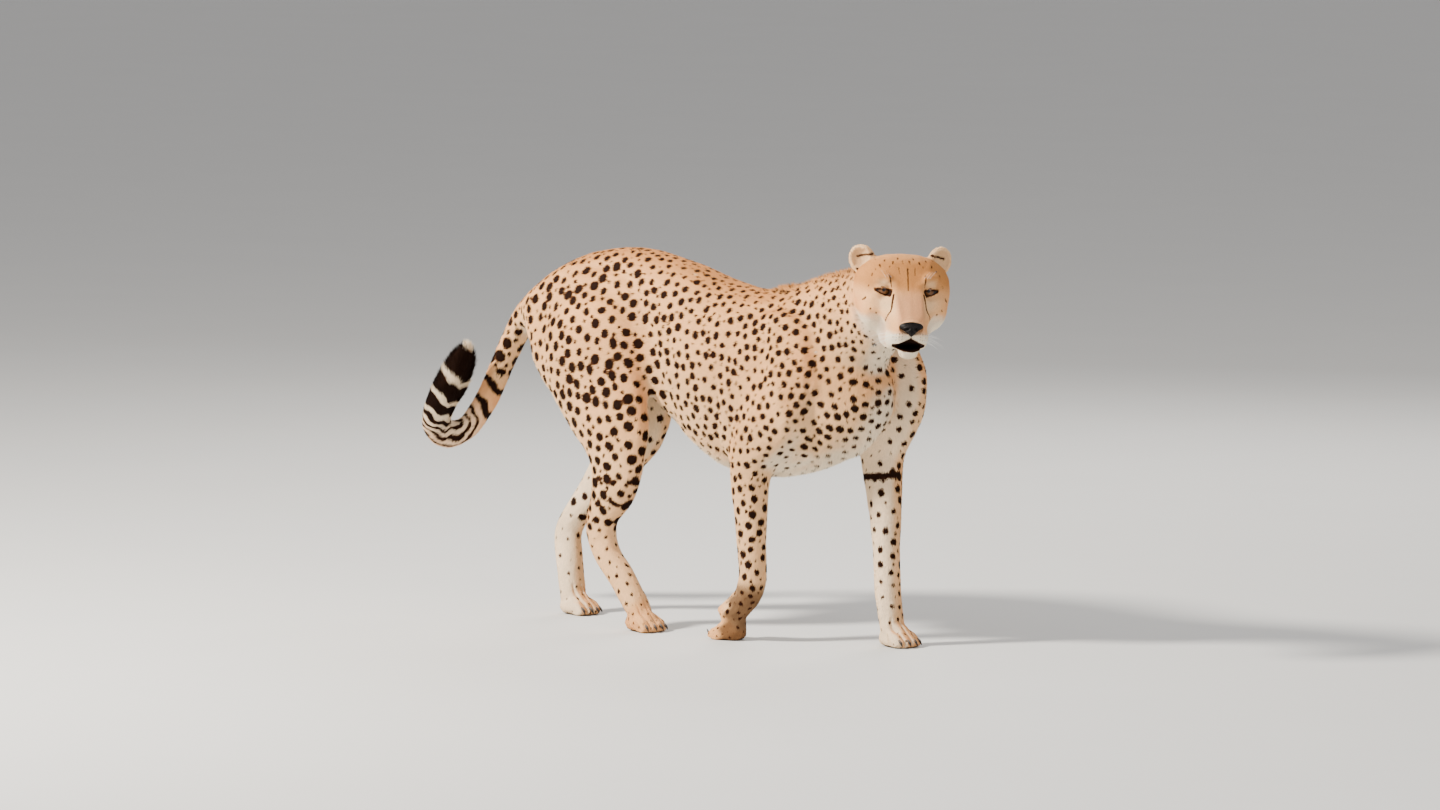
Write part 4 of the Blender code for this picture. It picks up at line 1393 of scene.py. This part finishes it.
def hair_values(region, coat, travel):
    """Hair length, coat depth, lift and cover at each corner."""
    normal = region.surface.normal
    place = region.surface.place
    local = region.local
    x, y, z = local.T
    belly = region.share("chest", "waist", "rump") * ease(-normal[:, 2], 0.35, 0.85)
    nape = region.share("neck", "chest") * bell(place[:, 1] - nape_line(place), 0.026)
    nape *= ease(normal[:, 2], 0.35, 0.85) * ease(place[:, 0], 0.12, 0.22)
    hams = region.share("thigh") * ease(-normal[:, 0], 0.3, 0.8)
    brush = region.share("tail") * ease(0.20 - travel, 0.0, 0.14)
    head = region.share("head")
    ruff = head * ease(np.abs(y), 0.048, 0.070) * ease(-z, 0.010, 0.050) * ease(-x, -0.01, 0.04)
    muzzle = head * ease(x, -0.02, 0.03)
    # Where, the hair's length there, how far it is reached, and the coat's depth and lift added
    changes = (
        (belly, coat.belly, 1.0, 0.0022, 10),
        (nape, coat.mane, 1.0, 0.0030, 26),
        (hams, coat.belly, 0.45, 0.0, 6),
        (brush, coat.brush, 1.0, 0.0060, 8),
        (ruff, 0.0130, 1.0, 0.0028, 12),
        (muzzle, 0.0030, 1.0, 0.0, 0),
    )
    hair = region.hair.copy()
    depth = region.depth.copy()
    lift = region.lift.copy()
    for share, wanted, fully, deeper, higher in changes:
        hair += fully * (wanted - hair) * share
        depth += deeper * share
        lift += higher * share
    cover = np.ones(len(place))
    for side in (-1, 1):
        off, near = round_eye(local, side)
        cover[near & (eye_opening(off, side)[1] < 0.0012)] = 0
        inner_ear = paired(EAR_AT, side) + np.array((0.012, 0, 0))
        cover[np.linalg.norm(local - inner_ear, axis=1) < 0.013] = 0.45
    cover[(mouth_distance(local) < 0.0006) & (x > 0)] = 0
    nose = (local - np.array(NOSE_AT)) / np.array((0.013, 0.0235, 0.0135))
    cover[np.linalg.norm(nose, axis=1) < 1.0] = 0
    cover[(place[:, 2] < 0.0045) & (normal[:, 2] < -0.3)] = 0
    return hair, depth, lift, cover


def nape_line(place):
    """y of the back's ridge: straight over the withers, then towards the head."""
    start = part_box("neck")[0].x
    end = HEAD @ Vector((-0.09, 0, 0.05))
    share = np.clip((place[:, 0] - start) / (end.x - start), 0, 1)
    return RIDGE_Y + (end.y - RIDGE_Y) * share**1.5


def dress_skin(thing, coat):
    """Stores the markings and the lie of the coat on the skin, and draws it in by the coat's depth."""
    surface = Surface(thing.data)
    region = Region(surface)
    up = surface.normal[:, 2]
    nose = np.array(HEAD @ Vector((NOSE_AT.x, 0, NOSE_AT.z)))
    run = surface.smooth(surface.along(nose), 6)
    lie = surface.flatten(surface.smooth(surface.slope(run), 12))
    tip_low, tip_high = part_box("tail_brush")
    tip = np.array((tip_high.x, tip_low.y * 0.5 + tip_high.y * 0.5, tip_high.z))
    travel = surface.smooth(surface.along(tip), 4)
    trunk = region.share("chest", "waist", "rump", "thigh", "upper_arm", "neck")
    belly = trunk * ease(-up, 0.42, 0.88)
    spine = trunk * ease(up, 0.45, 0.95)
    inner = inner_side(region)
    front = region.exact("head") & (region.local[:, 0] > -0.085)
    ringed = region.exact("tail") & (travel < TAIL_RINGS[-1][1] + 0.012)
    bare = (front | ringed | region.exact("ear")).astype(float)
    region.radius *= 1 - 0.30 * belly - 0.10 * inner
    region.spacing *= 1 + 0.30 * belly + 0.45 * inner
    region.radius *= 1 - 0.22 * spine
    region.spacing *= 1 - 0.15 * spine
    spots = shape_spots(region, scatter_spots(region, bare, SPOT_SEED), lie, STRETCH_SEED)
    fixed = np.full(len(bare), MARK_REACH)
    for other in (face_marks(region), ear_marks(region), ring_distance(region, travel), leg_bars(region)):
        fixed = np.minimum(fixed, other)
    mark = np.minimum(spot_distance(surface.place, spots) + bare, fixed)
    ground = ground_colour(region, coat, belly, inner, travel)
    hair, depth, lift, cover = hair_values(region, coat, travel)
    store(thing.data, "ground", np.column_stack((ground, np.ones(len(ground)))), "FLOAT_COLOR")
    store(thing.data, "mark", np.clip(mark, -MARK_REACH, MARK_REACH))
    store(thing.data, "fixed", np.clip(fixed, -MARK_REACH, MARK_REACH))
    store(thing.data, "bare", surface.smooth(bare, 1))
    store(thing.data, "rest", surface.place, "FLOAT_VECTOR")
    store(thing.data, "lie", lie, "FLOAT_VECTOR")
    store(thing.data, "hair", hair)
    store(thing.data, "lift", np.radians(lift))
    store(thing.data, "cover", cover)
    store(thing.data, "owner", region.owner)
    sunk = surface.place - surface.normal * (depth * np.minimum(1, cover * 2))[:, None]
    sunk[:, 2] = np.maximum(sunk[:, 2], SKIN_LOWEST)
    place_corners(thing.data, sunk)
    thing.data.materials.append(coat_material("skin", coat, False))
    thing.data.shade_smooth()
    return spots


# ---------------------------------------------------------------- coat


# Each coat piece: the starts of its nodes' names, and tufts for each square metre of skin
COAT_PIECES = {
    "coat_head": (("head", "ear"), 420000),
    "coat_neck": (("neck",), 260000),
    "coat_chest": (("chest",), 220000),
    "coat_waist": (("waist",), 220000),
    "coat_rump": (("rump",), 220000),
    "coat_shoulders": (("upper_arm",), 220000),
    "coat_thighs": (("thigh",), 220000),
    "coat_forelegs": (("forearm", "pastern_fore", "paw_fore"), 300000),
    "coat_hindlegs": (("shank", "metatarsus", "paw_hind"), 300000),
    "coat_tail": (("tail",), 300000),
}
MOST_TUFTS = 49000  # in one piece: at four triangles each, under 200,000 triangles
PATCH = 0.003  # side of the patch of a baked picture that one tuft takes
TUFT_ROOT = 0.12  # share of a tuft that lies behind the point it grows from
HEAD_WIDTH = 0.62  # width of the head's tufts, for 1 elsewhere
CROWDING = 1.6  # points tried for each tuft wanted, as some stand too near to others
EVENNESS = 0.62  # least gap between tufts, where a square grid of them has gaps of 1
SKIN_LOWEST = 0.0004  # the skin's and the hair's least height over the floor
HAIR_LOWEST = 0.0005
# Values that the pieces of the coat take over from the skin
CARRIED = ("ground", "fixed", "bare", "rest", "lie", "hair", "lift", "cover")


def piece_of_skin(skin, starts, spots):
    """The part of the skin on some nodes, as fine triangles with the stored values, and its area."""
    mesh = skin.data
    mesh.calc_loop_triangles()
    corners = numbers(mesh.loop_triangles, "vertices", 3, np.int32)
    owner = np.round(fetch(mesh, "owner")).astype(int)
    chosen = starting(*starts)[owner]
    used, renumbered = np.unique(corners[chosen[corners[:, 0]]], return_inverse=True)
    faces = renumbered.reshape(-1, 3)
    places = numbers(mesh.vertices, "co", 3)[used]
    made = bpy.data.meshes.new("part of the skin")
    made.from_pydata(places.tolist(), [], faces.tolist())
    for name in CARRIED:
        store(made, name, fetch(mesh, name)[used], mesh.attributes[name].data_type)
    unroll(made, places.astype(float), faces, owner[used])
    sides = places[faces]
    area = np.linalg.norm(np.cross(sides[:, 1] - sides[:, 0], sides[:, 2] - sides[:, 0]), axis=1).sum() / 2
    thing = link("part of the skin", made)
    if "head" not in starts:
        finer = thing.modifiers.new("Finer", "SUBSURF")
        finer.subdivision_type = "SIMPLE"
        finer.levels = 1
        settle(thing)
    fixed, bare, rest = (fetch(thing.data, name).astype(float) for name in ("fixed", "bare", "rest"))
    mark = np.minimum(spot_distance(rest, spots) + bare, fixed)
    store(thing.data, "mark", np.clip(mark, -MARK_REACH, MARK_REACH))
    return thing, float(area)


def unroll(mesh, places, faces, owner):
    """A UV map called roots: each node's skin unrolled round its own axis, the nodes side by side."""
    across = np.zeros(len(places))
    along = np.zeros(len(places))
    cell = np.zeros(len(places))
    present = np.unique(owner)
    for number, node in enumerate(present):
        chosen = owner == node
        part = places[chosen]
        centre = part.mean(0)
        if FLESH[node] == "head":
            axes = np.array(HEAD.to_3x3()).T[[2, 0, 1]]
            centre = np.array(HEAD @ Vector((-0.03, 0, -0.03)))
        else:
            axes = np.linalg.svd(part - centre, full_matrices=False)[2]
        off = (part - centre) @ axes.T
        run = off[:, 0]
        across[chosen] = np.arctan2(off[:, 2], off[:, 1]) / (2 * np.pi) + 0.5
        along[chosen] = (run - run.min()) / max(np.ptp(run), 1e-6)
        cell[chosen] = number
    turn = across[faces]
    turn += (turn.max(1) - turn.min(1) > 0.5)[:, None] * (turn < 0.5)
    u = (cell[faces[:, 0]][:, None] + 0.03 + 0.86 * turn) / len(present)
    v = 0.02 + 0.95 * along[faces]
    layer = mesh.uv_layers.new(name="roots")
    layer.uv.foreach_set("vector", np.stack((u, v), axis=2).astype(np.float32).ravel())


def tuft_tree(material):
    """Geometry nodes that stand a tuft on the skin at every point and lay it along the coat."""
    inputs = {"Density": "Float", "Spacing": "Float", "Width": "Float", "Seed": "Int"}
    nodes, given = geometry_tree("tufts", inputs)
    seed = given["Seed"]
    settings = {"distribute_method": "POISSON"}
    values = {
        "Mesh": given["Geometry"],
        "Distance Min": given["Spacing"],
        "Density Max": given["Density"],
        "Density Factor": nodes.named("cover"),
        "Seed": seed,
    }
    points = nodes.add("GeometryNodeDistributePointsOnFaces", settings, values, "Points")
    normal = Wire(nodes, points.socket.node.outputs["Normal"])
    points = nodes.stored(points, "upright", normal, "FLOAT_VECTOR")
    points = nodes.stored(points, "shade", nodes.chance(0.0, 1.0, seed + 1))
    upright = nodes.named("upright", "FLOAT_VECTOR")
    lie = nodes.named("lie", "FLOAT_VECTOR")
    # A tuft takes the mark of the skin under its middle
    ahead = nodes.vector("SCALE", {0: lie, "Scale": nodes.named("hair") * 0.52})
    shown = nodes.vector("ADD", {0: nodes.add("GeometryNodeInputPosition"), 1: ahead})
    values = {"Mesh": given["Geometry"], "Value": nodes.named("mark"), "Sample Position": shown}
    mark = nodes.add("GeometryNodeSampleNearestSurface", {"data_type": "FLOAT"}, values, "Value")
    points = nodes.stored(points, "mark", mark + nodes.chance(-0.0006, 0.0006, seed + 2))
    # It leans from the lie of the coat towards the normal by its lift, and sways to either side
    lift = nodes.named("lift") * nodes.chance(0.5, 1.6, seed + 3)
    side = nodes.vector("CROSS_PRODUCT", {0: upright, 1: lie})
    flat = nodes.vector("SCALE", {0: lie, "Scale": lift.maths("COSINE", lift)})
    rise = nodes.vector("SCALE", {0: upright, "Scale": lift.maths("SINE", lift)})
    sway = nodes.vector("SCALE", {0: side, "Scale": nodes.chance(-0.28, 0.28, seed + 4)})
    heading = nodes.vector("ADD", {0: nodes.vector("ADD", {0: flat, 1: rise}), 1: sway})
    settings = {"primary_axis": "X", "secondary_axis": "Z"}
    values = {"Primary Axis": heading, "Secondary Axis": upright}
    turn = nodes.add("FunctionNodeAxesToRotation", settings, values)
    long = nodes.named("hair") * nodes.chance(0.65, 1.15, seed + 5)
    wide = given["Width"] * nodes.chance(0.7, 1.25, seed + 6)
    scale = nodes.add("ShaderNodeCombineXYZ", None, {"X": long, "Y": wide, "Z": wide})
    values = {"Vertices": 3, "Side Segments": 1, "Radius Top": 0.0, "Radius Bottom": 0.5, "Depth": 1.0}
    tuft = nodes.add("GeometryNodeMeshCone", {"fill_type": "NGON"}, values, "Mesh")
    values = {"Geometry": tuft, "Rotation": (0.0, math.pi / 2, 0.0), "Translation": (-TUFT_ROOT, 0.0, 0.0)}
    lying = nodes.add("GeometryNodeTransform", None, values)
    place = nodes.add("GeometryNodeInputPosition")
    across = nodes.add("ShaderNodeSeparateXYZ", None, {"Vector": place}, "X")
    lying = nodes.stored(lying, "along", across + TUFT_ROOT)
    values = {"Points": points, "Instance": lying, "Rotation": turn, "Scale": scale}
    made = nodes.add("GeometryNodeInstanceOnPoints", None, values, "Instances")
    made = nodes.add("GeometryNodeRealizeInstances", None, {"Geometry": made})
    values = {"X": nodes.named("along"), "Y": nodes.named("shade"), "Z": 0.0}
    spread = nodes.add("ShaderNodeCombineXYZ", None, values)
    patch = nodes.vector("SCALE", {0: spread, "Scale": PATCH})
    root = nodes.vector("ADD", {0: nodes.named("roots", "FLOAT_VECTOR"), 1: patch})
    made = nodes.stored(made, "OFBake", root, "FLOAT2", "CORNER")
    return finish_tree(nodes, made, material)


def make_coat(name, skin, tree, starts, spots, density, width, seed):
    """One piece of the coat: tufts over the skin of some nodes."""
    thing, area = piece_of_skin(skin, starts, spots)
    thing.name = name
    density = min(density, MOST_TUFTS / area)
    values = {"Density": density * CROWDING, "Spacing": EVENNESS / math.sqrt(density)}
    grow(thing, tree, {**values, "Width": width, "Seed": seed})
    place = corners_of(thing.data)
    place[:, 2] = np.maximum(place[:, 2], HAIR_LOWEST)
    place_corners(thing.data, place)
    for spare in ("lie", "hair", "lift", "cover", "upright", "roots", "fixed", "bare", "rest"):
        if spare in thing.data.attributes:
            thing.data.attributes.remove(thing.data.attributes[spare])
    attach(thing, "root")


# ---------------------------------------------------------------- stage


# Place looked at, from the middle of the CAD model's box
AIM_OFF = Vector((0.0701, 0.0060, 0.0515))

# Each light's place, size, power and tint
LIGHTS = {
    "key": ((-1.9, -3.5, 3.6), 0.8, 900, (1.0, 0.95, 0.87)),
    "fill": ((4.2, -1.6, 2.0), 2.6, 60, (0.97, 0.98, 1.0)),
    "back": ((-1.5, 3.4, 2.8), 2.4, 120, (1.0, 0.98, 0.95)),
}


def aim(thing, place, target):
    """Puts a light or the camera at a place, looking at a target."""
    thing.location = place
    thing.rotation_euler = (Vector(target) - Vector(place)).to_track_quat("-Z", "Y").to_euler()


def make_camera(settings):
    """Camera at the chosen angle. It looks a little ahead of and above the animal's middle."""
    data = bpy.data.cameras.new("camera")
    data.lens = settings.lens
    data.sensor_width = 36.0
    data.clip_end = 100.0
    camera = link("camera", data)
    azimuth = math.radians(settings.azimuth)
    rise = math.radians(settings.elevation)
    level = math.cos(rise)
    back = Vector((math.sin(azimuth) * level, -math.cos(azimuth) * level, math.sin(rise)))
    target = (CAD_LOW + CAD_HIGH) / 2 + AIM_OFF
    aim(camera, target + back * settings.distance, target)
    bpy.context.scene.camera = camera


def make_light(name, place, size, power, tint):
    """A soft round light aimed at the animal."""
    data = bpy.data.lights.new(name, "AREA")
    data.shape = "DISK"
    data.size = size
    data.energy = power
    data.color = tint
    aim(link(name, data), place, (0, 0, 0.4))


def make_stage(settings):
    """Pale floor, soft light and the camera."""
    clay = bmesh.new()
    bmesh.ops.create_circle(clay, cap_ends=True, segments=64, radius=30.0)
    floor = link("floor", set_clay("floor", clay))
    made, nodes = new_material("studio floor")
    pale = nodes.mix(nodes.noise(3.0, 4.0), rgba(settings.floor, 0.96), rgba(settings.floor))
    finish_material(nodes, {"Base Color": pale, "Roughness": 0.85})
    floor.data.materials.append(made)
    make_camera(settings)
    for name, light in LIGHTS.items():
        make_light(name, *light)
    world = bpy.data.worlds.new("studio")
    world.use_nodes = True
    sky = world.node_tree.nodes["Background"]
    sky.inputs["Color"].default_value = (0.98, 0.98, 1.0, 1.0)
    sky.inputs["Strength"].default_value = 0.62
    bpy.context.scene.world = world


# ---------------------------------------------------------------- operators


class CHEETAH_OT_stage(bpy.types.Operator):
    """Lay the floor and set the lights and the camera"""

    bl_idname = "cheetah.stage"
    bl_label = "Stage"

    def execute(self, context):
        make_stage(context.scene.cheetah_stage)
        return {"FINISHED"}


class CHEETAH_OT_skin(bpy.types.Operator):
    """Model the skin over all the flesh"""

    bl_idname = "cheetah.skin"
    bl_label = "Skin"

    def execute(self, context):
        skin = make_skin(context.scene.cheetah_skin)
        SPOTS.clear()
        SPOTS.extend(dress_skin(skin, context.scene.cheetah_coat))
        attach(skin, "root")
        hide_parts(*FLESH)
        return {"FINISHED"}


class CHEETAH_OT_coat(bpy.types.Operator):
    """Grow the coat, in one piece for each region"""

    bl_idname = "cheetah.coat"
    bl_label = "Coat"

    def execute(self, context):
        coat = context.scene.cheetah_coat
        tree = tuft_tree(coat_material("coat", coat, True))
        skin = bpy.data.objects["skin"]
        for number, (name, (starts, density)) in enumerate(COAT_PIECES.items()):
            width = coat.width * (HEAD_WIDTH if name == "coat_head" else 1.0)
            make_coat(name, skin, tree, starts, SPOTS, density, width, TUFT_SEED + 10 * number)
        return {"FINISHED"}


class CHEETAH_OT_eyes(bpy.types.Operator):
    """Set both eyeballs"""

    bl_idname = "cheetah.eyes"
    bl_label = "Eyes"

    def execute(self, context):
        material = eye_material(context.scene.cheetah_face)
        make_eye(1, material)
        make_eye(-1, material)
        return {"FINISHED"}


class CHEETAH_OT_nose(bpy.types.Operator):
    """Model the nose leather"""

    bl_idname = "cheetah.nose"
    bl_label = "Nose"

    def execute(self, context):
        make_nose(context.scene.cheetah_face)
        return {"FINISHED"}


class CHEETAH_OT_claws(bpy.types.Operator):
    """Smooth the claws"""

    bl_idname = "cheetah.claws"
    bl_label = "Claws"

    def execute(self, context):
        make_claws()
        return {"FINISHED"}


class CHEETAH_OT_whiskers(bpy.types.Operator):
    """Set the whiskers; the skin comes first"""

    bl_idname = "cheetah.whiskers"
    bl_label = "Whiskers"

    def execute(self, context):
        make_whiskers(context.scene.cheetah_face)
        return {"FINISHED"}


class CHEETAH_PT_panel(bpy.types.Panel):
    """The steps that build the cheetah, in order"""

    bl_label = "Cheetah"
    bl_idname = "CHEETAH_PT_panel"
    bl_space_type = "VIEW_3D"
    bl_region_type = "UI"
    bl_category = "Cheetah"

    def draw(self, context):
        for step in STEPS:
            self.layout.operator("cheetah." + step)


STEPS = ("stage", "skin", "eyes", "nose", "claws", "whiskers", "coat")

CLASSES = (
    CheetahSkin,
    CheetahCoat,
    CheetahFace,
    CheetahStage,
    CHEETAH_OT_stage,
    CHEETAH_OT_skin,
    CHEETAH_OT_eyes,
    CHEETAH_OT_nose,
    CHEETAH_OT_claws,
    CHEETAH_OT_whiskers,
    CHEETAH_OT_coat,
    CHEETAH_PT_panel,
)


def register():
    """Adds the settings, operators and panel."""
    for kind in CLASSES:
        bpy.utils.register_class(kind)
    scene = bpy.types.Scene
    scene.cheetah_skin = PointerProperty(type=CheetahSkin)
    scene.cheetah_coat = PointerProperty(type=CheetahCoat)
    scene.cheetah_face = PointerProperty(type=CheetahFace)
    scene.cheetah_stage = PointerProperty(type=CheetahStage)


def unregister():
    """Takes the settings, operators and panel away again."""
    scene = bpy.types.Scene
    del scene.cheetah_stage
    del scene.cheetah_face
    del scene.cheetah_coat
    del scene.cheetah_skin
    for kind in reversed(CLASSES):
        bpy.utils.unregister_class(kind)


def main():
    """Builds the whole model."""
    register()
    bpy.ops.cheetah.stage()
    bpy.ops.cheetah.skin()
    bpy.ops.cheetah.eyes()
    bpy.ops.cheetah.nose()
    bpy.ops.cheetah.claws()
    bpy.ops.cheetah.whiskers()
    bpy.ops.cheetah.coat()


if __name__ == "__main__":
    main()
